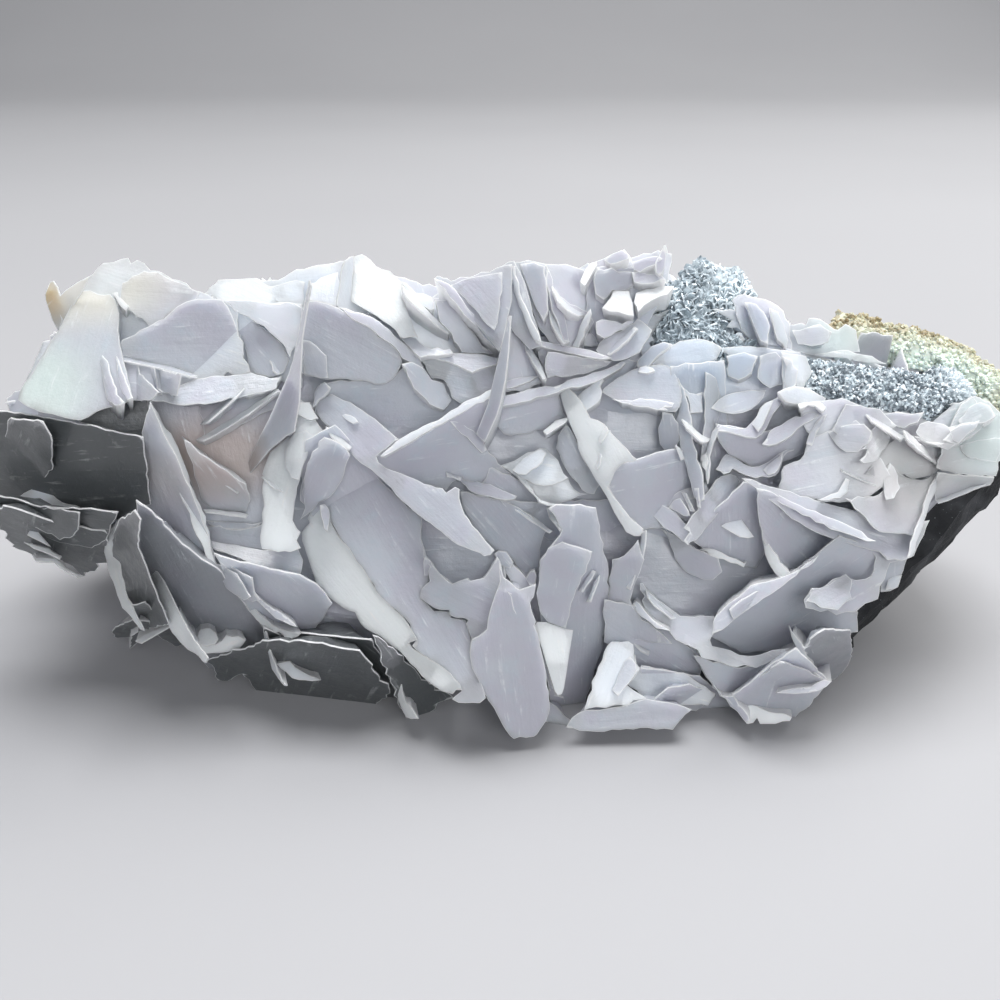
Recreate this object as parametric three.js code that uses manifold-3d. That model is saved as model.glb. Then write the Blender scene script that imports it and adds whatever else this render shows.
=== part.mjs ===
// A bladed calcite specimen, in millimetres: thin blades grown together over a dark host rock, with
// two patches of druse and a tan rind. X runs along the specimen, -Y is its front and +Z is up. The
// origin is the middle of the flat it rests on.
import * as THREE from "three";
import { ConvexGeometry } from "three/addons/geometries/ConvexGeometry.js";
import { mergeVertices } from "three/addons/utils/BufferGeometryUtils.js";
import Module from "manifold-3d";

const wasm = await Module();
wasm.setup();

// Driving dimensions of the specimen, without the tips that stand out of it, and the clearance between
// its pieces.
const LENGTH = 181;
const DEPTH = 78;
const HEIGHT = 74;
const SEAT_GAP = 0.35;

// Front wall that the front blades stand on: it starts in front of the middle at the foot, leans back
// as it rises, and bows back towards both ends.
const WALL_FOOT = 36;
const WALL_LEAN = 0.26;
const WALL_STRAIGHT = 62;
const WALL_BOW = 0.015;

// The front blades are set out on a sight grid of 1000 by 1000 units. It is seen from a point in front
// of and above the specimen, along a line that dips towards it.
const SIGHT_POINT = new THREE.Vector3(0, -182, 110);
const SIGHT_DIP = THREE.MathUtils.degToRad(25);
const SIGHT_UNITS = 1080;
const GRID_MIDDLE = 500;
const SIGHT_AHEAD = new THREE.Vector3(0, Math.cos(SIGHT_DIP), -Math.sin(SIGHT_DIP));
const SIGHT_UP = new THREE.Vector3(0, Math.sin(SIGHT_DIP), Math.cos(SIGHT_DIP));

// Each front blade has its outline on the sight grid, as pairs of numbers, and a plane: it stands LIFT
// proud of the front wall, turned to the right by TURN degrees and leaning back by LEAN degrees.
// Left end: a broad tilted plate with the crest behind it and thick ledges below.
const LEFT_SHOULDER = {
  amber_tip: { lift: -4, turn: -30, lean: 5, thickness: 1.6, outline: [
    52, 281, 60, 297, 74, 300, 70, 330, 58, 330, 50, 312, 45, 292] },
  left_back_crest: { lift: -5, turn: -8, lean: 18, thickness: 3, outline: [
    60, 298, 103, 263, 139, 261, 150, 271, 235, 305, 250, 372, 200, 380, 140, 366, 60, 328] },
  left_mint_blade: { lift: 5, turn: -14, lean: 40, thickness: 1.8, outline: [
    18, 400, 80, 292, 113, 294, 124, 308, 119, 322, 121, 345, 134, 398, 90, 419, 70, 419] },
  far_left_sliver: { lift: 1, turn: -10, lean: 62, thickness: 1.6, outline: [
    -34, 418, -14, 403, 8, 397, 30, 398, 70, 419, 20, 413] },
  left_shadow_plate: { lift: -1, turn: -16, lean: -6, thickness: 9, outline: [
    -50, 462, -36, 425, -6, 411, 72, 421, 145, 438, 150, 505, 118, 520, -30, 505] },
  lower_left_ledge: { lift: 0, turn: -14, lean: -16, thickness: 8, outline: [
    -42, 492, 118, 512, 106, 540, 92, 548, -20, 516] },
  lower_left_keel: { lift: -4, turn: -10, lean: -30, thickness: 7, outline: [
    -28, 510, 10, 508, 105, 535, 108, 562, 82, 577, 68, 572, 12, 547] },
};

// Rounded veil-like blade with small tent-shaped ones along its foot.
const LEFT_VEIL = {
  rounded_veil: { lift: -1, turn: 6, lean: 10, thickness: 1.6, outline: [
    246, 371, 200, 378, 140, 352, 128, 330, 165, 318, 196, 299, 216, 300, 228, 308] },
  horizon_lens: { lift: 4, turn: 4, lean: 52, thickness: 1.5, outline: [
    148, 401, 205, 378, 250, 372, 280, 376, 276, 392, 182, 406] },
};

// Left of the middle: the wing, the tall spire and the shelves under it.
const LEFT_MIDDLE = {
  left_wing_face: { lift: 2, turn: -24, lean: -6, thickness: 1.8, outline: [
    150, 400, 168, 425, 188, 475, 219, 573, 180, 545, 126, 484, 118, 466, 125, 456, 143, 452] },
  brown_floor: { lift: -5, turn: 8, lean: 8, thickness: 9, outline: [
    150, 400, 290, 392, 296, 440, 280, 520, 262, 548, 210, 545, 190, 480] },
  double_edge_far: { lift: -1, turn: -14, lean: -24, thickness: 1.5, outline: [
    183, 437, 247, 481, 256, 500, 250, 528, 214, 532] },
  tall_spire: { lift: 9, turn: -52, lean: 4, thickness: 1.8, outline: [
    306, 280, 303, 385, 294, 430, 243, 479, 237, 476, 284, 374] },
  ivory_patch: { lift: 1, turn: -22, lean: 28, thickness: 5, outline: [
    298, 398, 332, 430, 312, 448, 299, 482, 294, 515, 306, 535, 300, 556, 262, 550, 266, 472,
    294, 430] },
  shelf_lower: { lift: 5, turn: 4, lean: 46, thickness: 1.6, outline: [
    208, 540, 300, 553, 306, 566, 300, 577, 270, 572, 240, 562] },
  lower_cup: { lift: 2, turn: -4, lean: -14, thickness: 8, outline: [
    214, 553, 300, 575, 332, 604, 310, 631, 285, 638, 268, 632] },
};

// Hanging petals of the lower left, with short spikes under them.
const LOWER_LEFT = {
  dark_plate: { lift: -3, turn: -12, lean: -20, thickness: 9, outline: [
    136, 500, 222, 573, 264, 628, 272, 668, 256, 681, 218, 679, 188, 644, 138, 550] },
  petal_one: { lift: 1, turn: -38, lean: -8, thickness: 2.2, outline: [
    144, 631, 166, 622, 146, 566, 140, 510, 122, 512, 108, 530, 104, 552, 110, 580] },
};

// Shaded blades that curl under, left of the middle of the foot.
const FOOT_LEFT = {
  hanging_blade: { lift: -3, turn: -2, lean: -22, thickness: 8, outline: [
    262, 628, 368, 638, 402, 712, 318, 684, 290, 686, 278, 678] },
  underside_left: { lift: -4, turn: -8, lean: -26, thickness: 8, outline: [
    236, 683, 345, 690, 376, 706, 336, 731, 306, 731, 296, 715, 280, 714] },
  hanging_wing: { lift: 1, turn: 24, lean: -8, thickness: 2.2, outline: [
    366, 638, 394, 648, 432, 690, 456, 694, 418, 719, 404, 717] },
};

// The largest petal, with a ragged free edge.
const RAGGED_PETAL = {
  ragged_petal: { lift: 3, turn: 22, lean: 10, thickness: 2.4, outline: [
    345, 470, 400, 490, 432, 548, 430, 580, 422, 598, 468, 676, 462, 690, 450, 694, 428, 682,
    362, 625, 353, 611, 318, 587, 302, 530, 315, 504, 324, 501] },
};

// Slanting ribbon and the flaps, arcs and faces it rises from.
const RIBBON = {
  ribbon: { lift: 6, turn: -26, lean: 30, thickness: 2.4, outline: [
    315, 404, 331, 394, 399, 440, 412, 470, 440, 486, 460, 487, 470, 518, 494, 551, 490, 557,
    466, 548, 400, 498] },
  ribbon_flap: { lift: 3, turn: 10, lean: -6, thickness: 2.0, outline: [
    378, 458, 492, 393, 484, 441, 500, 468, 505, 490, 462, 490, 420, 480] },
  grey_arc_blade: { lift: -1, turn: 2, lean: 4, thickness: 2.4, outline: [
    300, 304, 316, 301, 340, 308, 382, 334, 404, 366, 402, 395, 370, 408, 302, 388] },
  lavender_face: { lift: -5, turn: 4, lean: -4, thickness: 9, outline: [
    330, 392, 372, 382, 404, 362, 424, 378, 500, 372, 500, 392, 398, 441] },
};

// Crest, left of the middle.
const CREST_LEFT = {
  crest_white: { lift: -8, turn: -8, lean: 34, thickness: 3, outline: [
    206, 292, 218, 280, 258, 278, 286, 304, 300, 330, 240, 330, 222, 302] },
  crest_pale: { lift: -10, turn: 8, lean: 14, thickness: 4, outline: [
    258, 279, 270, 281, 352, 256, 352, 300, 340, 312, 300, 312] },
  under_crest: { lift: -5, turn: 0, lean: 8, thickness: 8, outline: [
    218, 300, 302, 304, 302, 388, 246, 372] },
  crest_bright: { lift: -5, turn: -8, lean: 32, thickness: 3, outline: [
    351, 256, 362, 254, 401, 282, 418, 334, 412, 342, 351, 302] },
  crest_right_face: { lift: -8, turn: 14, lean: 8, thickness: 4, outline: [
    399, 280, 432, 297, 462, 352, 440, 356, 416, 350, 404, 330] },
  ragged_ledge: { lift: -1, turn: 0, lean: 58, thickness: 1.5, outline: [
    401, 337, 450, 349, 452, 354, 418, 357] },
  backing_notch: { lift: -9, turn: -4, lean: 6, thickness: 7, outline: [
    430, 298, 452, 298, 478, 322, 502, 352, 502, 380, 470, 372, 448, 354] },
};

// Notched blade, the upright lance and the bars beside it.
const LANCE = {
  notch_blade: { lift: -3, turn: -16, lean: 18, thickness: 3, outline: [
    434, 279, 452, 281, 512, 264, 512, 300, 499, 352] },
  lance: { lift: 9, turn: -50, lean: 2, thickness: 1.7, outline: [
    509, 316, 513, 324, 506, 378, 484, 443, 474, 438] },
  triangle_plate: { lift: -4, turn: 14, lean: 4, thickness: 5, outline: [
    508, 322, 546, 378, 528, 390, 502, 392] },
  long_bar: { lift: 5, turn: 6, lean: 40, thickness: 1.6, outline: [
    498, 407, 500, 396, 562, 386, 620, 362, 624, 368, 600, 380] },
  bar_recess: { lift: -6, turn: 6, lean: -6, thickness: 9, outline: [
    536, 342, 640, 362, 604, 400, 580, 400, 546, 388] },
};

// Deep recess between the lance and the broad band.
const RECESS = {
  deep_fan: { lift: -9, turn: 6, lean: -10, thickness: 9, outline: [
    490, 402, 564, 392, 582, 452, 604, 486, 606, 510, 560, 512, 520, 500, 482, 440] },
};

// Crowd of short plates on the crest, right of the middle.
const CREST_RIGHT = {
  top_lens: { lift: -5, turn: -12, lean: 8, thickness: 3, outline: [
    514, 262, 532, 259, 546, 264, 568, 343, 552, 346, 540, 330] },
  top_plate_a: { lift: -7, turn: 6, lean: 14, thickness: 4, outline: [
    544, 264, 584, 270, 592, 312, 580, 320, 562, 306] },
  top_plate_b: { lift: -5, turn: 14, lean: 6, thickness: 3, outline: [
    552, 290, 588, 312, 594, 322, 582, 345, 566, 348] },
  top_facet: { lift: -7, turn: -4, lean: 30, thickness: 6, outline: [
    590, 264, 624, 250, 634, 268] },
  top_facet_shade: { lift: -7, turn: 4, lean: -2, thickness: 9, outline: [
    588, 268, 634, 266, 668, 290, 640, 350, 600, 350, 586, 320] },
  bright_wing: { lift: -6, turn: -10, lean: 34, thickness: 2, outline: [
    674, 287, 668, 298, 636, 316, 632, 292] },
  top_small_peaks: { lift: -8, turn: 6, lean: 14, thickness: 8, outline: [
    665, 245, 668, 284, 634, 286, 630, 258] },
  fan_blade: { lift: -4, turn: -14, lean: 22, thickness: 3, outline: [
    596, 350, 602, 340, 638, 318, 652, 330, 640, 352, 622, 360, 606, 358] },
};

// Scooped plates and pleats below the upper druse.
const SCOOP = {
  druse_apron: { lift: -10, turn: 0, lean: 26, thickness: 6, outline: [
    636, 320, 668, 310, 744, 310, 748, 350, 720, 352, 690, 378, 644, 366] },
  broad_scoop: { lift: -1, turn: -8, lean: 26, thickness: 2.2, outline: [
    601, 392, 632, 365, 668, 369, 678, 384, 676, 405] },
  scoop_recess: { lift: -8, turn: 0, lean: -14, thickness: 9, outline: [
    596, 392, 690, 410, 690, 456, 636, 461, 606, 452, 592, 418] },
  white_band: { lift: 7, turn: -36, lean: 16, thickness: 2.4, outline: [
    559, 392, 568, 389, 578, 397, 590, 418, 638, 458, 618, 467, 609, 487, 622, 509, 644, 530,
    640, 535, 631, 536, 584, 462] },
  band_hollow: { lift: -1, turn: 22, lean: 2, thickness: 6, outline: [
    694, 452, 694, 500, 664, 512, 664, 528, 644, 530, 609, 486, 616, 470, 668, 450] },
  pleat_left: { lift: 0, turn: -40, lean: 12, thickness: 1.8, outline: [
    664, 368, 676, 372, 690, 400, 704, 500, 692, 490] },
  pleat_right: { lift: -1, turn: 34, lean: 8, thickness: 1.8, outline: [
    706, 372, 716, 378, 722, 400, 702, 500] },
  pleat_back: { lift: -5, turn: 0, lean: 0, thickness: 8, outline: [
    724, 360, 730, 470, 712, 500, 684, 500, 670, 366] },
};

// Small bright facets between the druse and the right plates.
const FACETS = {
  facet_a: { lift: -2, turn: 6, lean: 34, thickness: 2.4, outline: [
    711, 408, 734, 388, 766, 391, 762, 404, 746, 414] },
  facet_b: { lift: 1, turn: 8, lean: 40, thickness: 1.6, outline: [
    716, 427, 740, 430, 754, 424, 772, 398, 781, 400, 764, 434] },
  facet_c: { lift: 3, turn: -8, lean: 38, thickness: 1.8, outline: [
    762, 444, 770, 430, 808, 409, 819, 416, 784, 441] },
  smile_band: { lift: 4, turn: 2, lean: 42, thickness: 1.6, outline: [
    717, 469, 730, 454, 758, 466, 794, 447, 778, 476, 756, 479, 736, 470, 726, 476] },
};

// Two crossed blades and the hollow that hangs below them.
const CROSSED_PAIR = {
  cross_right: { lift: 5, turn: 26, lean: 24, thickness: 2.0, outline: [
    684, 542, 700, 505, 726, 473, 742, 479, 742, 487, 702, 536, 692, 545] },
  cross_left: { lift: 3, turn: -18, lean: 28, thickness: 2.0, outline: [
    690, 480, 698, 488, 702, 508, 692, 530, 696, 542, 688, 545, 664, 530, 647, 504, 668, 508] },
  cross_shadow: { lift: -3, turn: 10, lean: -14, thickness: 7, outline: [
    692, 540, 744, 482, 770, 492, 772, 540, 756, 568] },
  great_hollow: { lift: -9, turn: -4, lean: -14, thickness: 9, outline: [
    640, 530, 664, 526, 782, 578, 724, 620, 690, 620, 660, 606, 644, 584] },
};

// Broad plates of the right side and the bowl under them.
const RIGHT_PLATES = {
  right_lobe: { lift: 0, turn: 12, lean: -8, thickness: 6, outline: [
    756, 488, 844, 540, 784, 579, 765, 544] },
  sweep_plate: { lift: 5, turn: 8, lean: 34, thickness: 2.4, outline: [
    728, 474, 760, 478, 800, 496, 860, 512, 930, 520, 914, 558, 902, 563, 815, 528] },
  cool_plate: { lift: 1, turn: -12, lean: 18, thickness: 3, outline: [
    778, 492, 790, 466, 812, 440, 846, 428, 876, 452, 894, 480, 862, 502, 824, 502] },
  warm_plate: { lift: 2, turn: 18, lean: 22, thickness: 3, outline: [
    846, 498, 872, 484, 884, 462, 904, 454, 942, 470, 926, 532, 880, 526] },
  tail_plate: { lift: 3, turn: 4, lean: 18, thickness: 3, outline: [
    912, 557, 890, 563, 878, 599, 858, 611, 837, 615, 806, 607, 803, 600, 812, 589, 845, 575,
    862, 581, 872, 548] },
  grey_recess: { lift: -5, turn: 2, lean: -8, thickness: 9, outline: [
    884, 552, 876, 580, 812, 592, 806, 606, 858, 612, 858, 632, 742, 654, 712, 638, 724, 616,
    840, 536] },
  bowl_band: { lift: 4, turn: -6, lean: 30, thickness: 2.0, outline: [
    792, 647, 776, 660, 742, 669, 702, 662, 672, 632, 632, 606, 636, 600, 648, 608, 640, 584,
    646, 582, 664, 602, 690, 616, 716, 617, 714, 636, 740, 652] },
  bowl_floor: { lift: -3, turn: 0, lean: -6, thickness: 8, outline: [
    604, 600, 636, 606, 674, 634, 704, 662, 700, 676, 640, 668, 604, 642] },
};

// Forked blade at the middle of the foot and its neighbours.
const FORKED_BLADE = {
  forked_wing: { lift: 7, turn: -18, lean: 14, thickness: 2.2, outline: [
    424, 549, 440, 574, 456, 584, 480, 580, 508, 553, 506, 586, 492, 628, 474, 644, 470, 624,
    422, 600, 431, 582] },
  forked_blade: { lift: 9, turn: 8, lean: 2, thickness: 2.4, outline: [
    508, 552, 514, 570, 508, 588, 530, 615, 552, 692, 549, 724, 536, 739, 513, 739, 472, 662,
    470, 640, 480, 600, 494, 562] },
  grey_keel_blade: { lift: 1, turn: 14, lean: -6, thickness: 4, outline: [
    566, 540, 602, 552, 608, 580, 592, 686, 572, 726, 556, 724, 540, 640, 524, 600, 530, 548] },
  bright_triangle: { lift: 5, turn: -10, lean: 22, thickness: 1.6, outline: [
    532, 622, 574, 631, 559, 695, 553, 690] },
  textured_facet: { lift: 4, turn: -4, lean: 30, thickness: 2.4, outline: [
    583, 712, 610, 642, 630, 642, 633, 660, 642, 668, 628, 684, 648, 697] },
  foot_strip: { lift: 5, turn: 0, lean: 8, thickness: 3, outline: [
    530, 706, 546, 699, 566, 708, 600, 710, 645, 699, 694, 709, 676, 729, 566, 732, 548, 724] },
  foot_shadow_plate: { lift: -3, turn: 6, lean: -16, thickness: 8, outline: [
    640, 668, 700, 676, 740, 716, 690, 719, 640, 700] },
  central_hollow: { lift: -7, turn: 4, lean: -8, thickness: 9, outline: [
    490, 466, 560, 500, 612, 500, 646, 530, 644, 600, 612, 644, 560, 560, 520, 600, 506, 552,
    470, 516] },
  centre_chip: { lift: 1, turn: -10, lean: 30, thickness: 1.8, outline: [
    500, 466, 540, 448, 556, 458, 568, 476, 560, 482, 588, 494, 548, 504, 520, 476] },
};

// Folded blades of the lower right.
const FOOT_RIGHT = {
  foot_right_face: { lift: 0, turn: 2, lean: -8, thickness: 6, outline: [
    694, 656, 740, 668, 776, 660, 720, 697] },
  foot_right_fold: { lift: 1, turn: 8, lean: -20, thickness: 5, outline: [
    732, 694, 800, 640, 812, 668, 834, 682, 790, 722, 754, 722] },
  dark_facet: { lift: -1, turn: 22, lean: -22, thickness: 5, outline: [
    856, 630, 846, 668, 835, 679, 818, 672, 806, 640] },
};

// Pale plates of the right end.
const RIGHT_END = {
  mint_plate: { lift: 1, turn: 22, lean: 18, thickness: 4, outline: [
    938, 468, 942, 440, 962, 404, 990, 392, 1030, 420, 1036, 440, 1002, 458, 997, 475, 970, 476] },
  shadow_quad: { lift: -2, turn: 16, lean: -22, thickness: 3, outline: [
    992, 476, 986, 486, 936, 500, 934, 472] },
};

// Thin veils of the top right.
const TOP_RIGHT = {
  veil_right_a: { lift: -11, turn: 2, lean: 18, thickness: 4, outline: [
    732, 300, 748, 294, 778, 306, 790, 324, 792, 350, 760, 352, 742, 330] },
  veil_right_b: { lift: -13, turn: 6, lean: 16, thickness: 4, outline: [
    786, 324, 806, 322, 809, 317, 836, 331, 846, 324, 856, 330, 860, 352, 820, 356, 788, 350] },
  mint_band: { lift: -12, turn: 10, lean: 34, thickness: 4, outline: [
    846, 326, 872, 330, 938, 372, 906, 368, 850, 348] },
  cream_mid: { lift: -1, turn: 16, lean: 20, thickness: 3, outline: [
    866, 474, 880, 450, 905, 434, 942, 450, 910, 478, 890, 484] },
};
const FRONT_BLADES = Object.values({
  ...LEFT_SHOULDER, ...LEFT_VEIL, ...LEFT_MIDDLE, ...LOWER_LEFT, ...FOOT_LEFT, ...RAGGED_PETAL,
  ...RIBBON, ...CREST_LEFT, ...LANCE, ...RECESS, ...CREST_RIGHT, ...SCOOP, ...FACETS,
  ...CROSSED_PAIR, ...RIGHT_PLATES, ...FORKED_BLADE, ...FOOT_RIGHT, ...RIGHT_END, ...TOP_RIGHT,
});

// A front blade thinner than THIN_LIMIT is drawn to a root that reaches into the mass behind it. Any
// blade's back face is drawn in by at most MOST_DRAWN_IN of its own size.
const THIN_LIMIT = 3.5;
const PROUD_LIMIT = 3;
const MOST_DRAWN_IN = 0.45;
const ROOT_NARROWING = 0.3;
const ROOT_DEPTH = 13;
const ROOT_PULL = 0.9;

// The mass that the blades stand out of: it follows the front wall at a small distance. Its underside
// is level in the middle and rises towards both ends, like a boat's.
const MASS_HALF_LENGTH = LENGTH * 0.465;
const MASS_SETBACK = 5;
const MASS_BACK = DEPTH * 0.4;
const MASS_TOP = HEIGHT * 0.91;
const MASS_FOOT = -2;
const MASS_SHOULDER = 55;
const MASS_ROUND = 0.02;
const MASS_SQUARENESS = 0.48;
const MASS_ROUGHNESS = 2.4;
const MASS_BELOW_SKYLINE = 6;
const MASS_FACES = [6, 3, 3];
const KEEL_LEFT = { from: 34, slope: 0.66 };
const KEEL_RIGHT = { from: 52, slope: 1.05 };

// Blades of the back, the top and the underside, scattered over the mass.
const SCATTERED_BLADES = 36;
const SCATTER_START = THREE.MathUtils.degToRad(-8);
const SCATTER_SWEEP = THREE.MathUtils.degToRad(150);
const SCATTER_STRIDE = 0.618034;
const SCATTER_REACH = { least: 12, most: 19 };
const SCATTER_SLANT = { least: 0.5, most: 1.6 };
const SCATTER_ARM = { least: 0.75, most: 1.15 };
const SCATTER_WIDTH = 0.85;
const SCATTER_CORNERS = 5;
const CORNER_STRAY = 0.6;
const SCATTER_THICKNESS = 2.2;

// Skyline of the crest on the sight grid, left to right: nothing behind it rises above it.
const SKYLINE = [
  [-60, 450], [0, 400], [20, 394], [60, 302], [100, 268], [130, 264], [200, 294], [230, 282],
  [300, 273], [355, 259], [430, 300], [445, 284], [500, 269], [600, 262], [690, 252], [750, 300],
  [800, 326], [860, 326], [950, 350], [1000, 380], [1040, 430],
];

// Host rock: an angular block that the calcite grew on. Its left end is buried and its right end shows.
const ROCK_CORNERS = [
  [-24, -16, 0], [20, -18, 0], [60, -16, 0], [66, -11, 0], [66, 12, 0], [50, 30, 0], [0, 34, 0],
  [-22, 20, 0], [92, -3, 27], [93, -4, 40], [92, 22, 42], [89, 28, 24], [60, 37, 30], [10, 38, 22],
  [-20, 30, 16], [-20, -10, 12], [50, -8, 26], [76, -13, 20],
];

// Lumps of fine crystals that make up the druse patches and the rind: uneven flattened balls.
const LUMP_UNEVEN = { least: 0.94, most: 1.14 };
const CREST_DRUSE = [
  { at: [30, -8, 61.5], half: [8, 8, 3.4], tilt: [44, 0, 0], seed: 71 },
  { at: [36, -3, 64], half: [8.5, 8, 3.4], tilt: [40, 10, 0], seed: 72 },
  { at: [34, -12, 57.5], half: [9, 5, 3], tilt: [50, 4, 0], seed: 73 },
];
const SHOULDER_DRUSE = [
  { at: [52.5, -16.5, 53.6], half: [6.4, 4.8, 2.8], tilt: [44, 6, 0], seed: 81 },
  { at: [59.5, -16.5, 52.4], half: [6.6, 5.2, 3], tilt: [44, 8, 0], seed: 82 },
  { at: [66.5, -16, 51.2], half: [6.6, 5.2, 3], tilt: [44, 10, 0], seed: 83 },
  { at: [73, -13.5, 51.4], half: [5.6, 4.6, 3], tilt: [44, 14, 4], seed: 84 },
];
const RIND = [
  { at: [63, 3, 56], half: [6, 5.6, 3.2], tilt: [24, 6, 0], seed: 91 },
  { at: [71.5, 2, 54], half: [7, 6, 3.4], tilt: [22, 12, 0], seed: 92 },
  { at: [79.5, 0, 51.2], half: [6.4, 6.6, 3.6], tilt: [20, 22, 0], seed: 93 },
  { at: [85, -3, 48], half: [4.6, 6.6, 4], tilt: [18, 34, 0], seed: 94 },
  { at: [87, -7, 43.5], half: [3.6, 6, 4.6], tilt: [10, 44, 0], seed: 95 },
];

function seededRandom(seed) {
  let state = seed;
  return () => {
    state = (state * 48271) % 2147483647;
    return state / 2147483647;
  };
}

function between(range, share) {
  return THREE.MathUtils.lerp(range.least, range.most, share);
}

function pointOf(position, index) {
  return new THREE.Vector3().fromBufferAttribute(position, index);
}

// The same shape with each corner stored once, without normals or texture coordinates.
function welded(geometry) {
  const bare = geometry.clone();
  bare.deleteAttribute("normal");
  bare.deleteAttribute("uv");
  return mergeVertices(bare, 1e-5);
}

function toSolid(geometry) {
  const merged = welded(geometry);
  return new wasm.Manifold(new wasm.Mesh({
    numProp: 3,
    vertProperties: new Float32Array(merged.attributes.position.array),
    triVerts: new Uint32Array(merged.index.array),
  }));
}

function toGeometry(solid) {
  const mesh = solid.getMesh();
  const geometry = new THREE.BufferGeometry();
  geometry.setAttribute("position", new THREE.BufferAttribute(mesh.vertProperties, 3));
  geometry.setIndex(new THREE.BufferAttribute(mesh.triVerts, 1));
  geometry.computeVertexNormals();
  return geometry;
}

function joined(solids) {
  return solids.reduce((sum, solid) => sum.add(solid));
}

// A joined solid without the crumbs that a cut has left loose.
function largestPart(solid) {
  return solid.decompose().sort((a, b) => b.volume() - a.volume())[0];
}

// Everything is cut level at the foot, where the specimen rests.
function cutLevel(solid) {
  const below = new THREE.BoxGeometry(3 * LENGTH, 3 * DEPTH, HEIGHT);
  below.translate(0, 0, -HEIGHT / 2);
  return solid.subtract(toSolid(below));
}

function sightLine(across, down) {
  return new THREE.Vector3((across - GRID_MIDDLE) / SIGHT_UNITS, 0, 0)
    .addScaledVector(SIGHT_UP, (GRID_MIDDLE - down) / SIGHT_UNITS)
    .add(SIGHT_AHEAD);
}

function onSightGrid(point) {
  const offset = point.clone().sub(SIGHT_POINT);
  const ahead = offset.dot(SIGHT_AHEAD);
  return {
    across: GRID_MIDDLE + (SIGHT_UNITS * offset.x) / ahead,
    down: GRID_MIDDLE - (SIGHT_UNITS * offset.dot(SIGHT_UP)) / ahead,
    unit: ahead / SIGHT_UNITS,
  };
}

// How far a point stands above the skyline, in millimetres.
function aboveSkyline(point) {
  const { across, down, unit } = onSightGrid(point);
  const next = Math.max(1, SKYLINE.findIndex(([a]) => a > across));
  const [acrossBefore, downBefore] = SKYLINE[next - 1];
  const [acrossAfter, downAfter] = SKYLINE[next];
  const line = THREE.MathUtils.mapLinear(across, acrossBefore, acrossAfter, downBefore, downAfter);
  return (line - down) * unit;
}

function wallDepth(x, z) {
  return -WALL_FOOT + WALL_LEAN * z + WALL_BOW * Math.max(0, Math.abs(x) - WALL_STRAIGHT) ** 2;
}

// Where a sight line meets the front wall, found by halving.
function wallPoint(across, down) {
  const line = sightLine(across, down);
  let near = 0;
  let far = 2 * LENGTH;
  while (far - near > 1e-6) {
    const middle = (near + far) / 2;
    const point = SIGHT_POINT.clone().addScaledVector(line, middle);
    if (point.y < wallDepth(point.x, point.z)) near = middle;
    else far = middle;
  }
  return SIGHT_POINT.clone().addScaledVector(line, near);
}

function planeNormal(turn, lean) {
  const turned = THREE.MathUtils.degToRad(turn);
  const leant = THREE.MathUtils.degToRad(lean);
  return new THREE.Vector3(
    Math.sin(turned) * Math.cos(leant), -Math.cos(turned) * Math.cos(leant), Math.sin(leant));
}

// Front blade: the outline is cast along the sight lines onto the blade's plane. The back face is
// drawn in, so that the edges are sharp, and a thin blade narrows from there to a root in the mass.
// A thin blade that stands little proud narrows to its root straight away.
function frontBlade({ lift, turn, lean, thickness, outline }) {
  const corners = [];
  for (let i = 0; i < outline.length; i += 2) {
    corners.push(new THREE.Vector2(outline[i], -outline[i + 1]));
  }
  const middle = corners.reduce((sum, corner) => sum.add(corner), new THREE.Vector2())
    .divideScalar(corners.length);
  const facing = planeNormal(turn, lean);
  const seat = wallPoint(middle.x, -middle.y).add(new THREE.Vector3(0, -lift, 0));
  const cast = (x, y) => {
    const line = sightLine(x, -y);
    const reach = facing.dot(seat.clone().sub(SIGHT_POINT)) / facing.dot(line);
    return SIGHT_POINT.clone().addScaledVector(line, reach);
  };
  const centre = cast(middle.x, middle.y);
  const spread = corners.reduce((sum, { x, y }) => sum + cast(x, y).distanceTo(centre), 0);
  const size = (2 * spread) / corners.length;
  const drawnIn = 1 - Math.min(MOST_DRAWN_IN, thickness / size);
  const inward = centre.clone().sub(SIGHT_POINT).normalize();
  inward.z += ROOT_PULL * (0.5 - centre.z / HEIGHT);
  const rootDepth = Math.max(0, lift) + ROOT_DEPTH;
  const rooted = thickness < THIN_LIMIT;
  const layers = rooted && lift > PROUD_LIMIT ? 2 : 1;
  const slab = new THREE.ExtrudeGeometry(
    new THREE.Shape(corners), { depth: layers, steps: layers, bevelEnabled: false });
  const position = slab.attributes.position;
  for (let i = 0; i < position.count; i += 1) {
    const layer = layers - Math.round(position.getZ(i));
    const point = cast(position.getX(i), position.getY(i));
    if (rooted && layer === layers) {
      point.lerpVectors(centre, point, ROOT_NARROWING).addScaledVector(inward, rootDepth);
    } else if (layer === 1) {
      point.lerpVectors(centre, point, drawnIn).addScaledVector(facing, -thickness);
    }
    position.setXYZ(i, point.x, point.y, point.z);
  }
  return toSolid(slab);
}

function squared(part) {
  return Math.sign(part) * Math.abs(part) ** MASS_SQUARENESS;
}

// Point of the mass's surface in a given direction from its middle.
function massPoint(direction) {
  const x = MASS_HALF_LENGTH * squared(direction.x);
  const past = Math.max(0, Math.abs(x) - MASS_SHOULDER);
  const top = MASS_TOP - MASS_ROUND * past * past;
  const keel = MASS_FOOT + Math.max(0, -x - KEEL_LEFT.from) * KEEL_LEFT.slope
    + Math.max(0, x - KEEL_RIGHT.from) * KEEL_RIGHT.slope;
  const z = THREE.MathUtils.lerp(keel, top, (squared(direction.z) + 1) / 2);
  const front = wallDepth(x, z) + MASS_SETBACK;
  const back = MASS_BACK - MASS_ROUND * past * past;
  const y = THREE.MathUtils.lerp(front, back, (squared(direction.y) + 1) / 2);
  return new THREE.Vector3(x, y, z);
}

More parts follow.
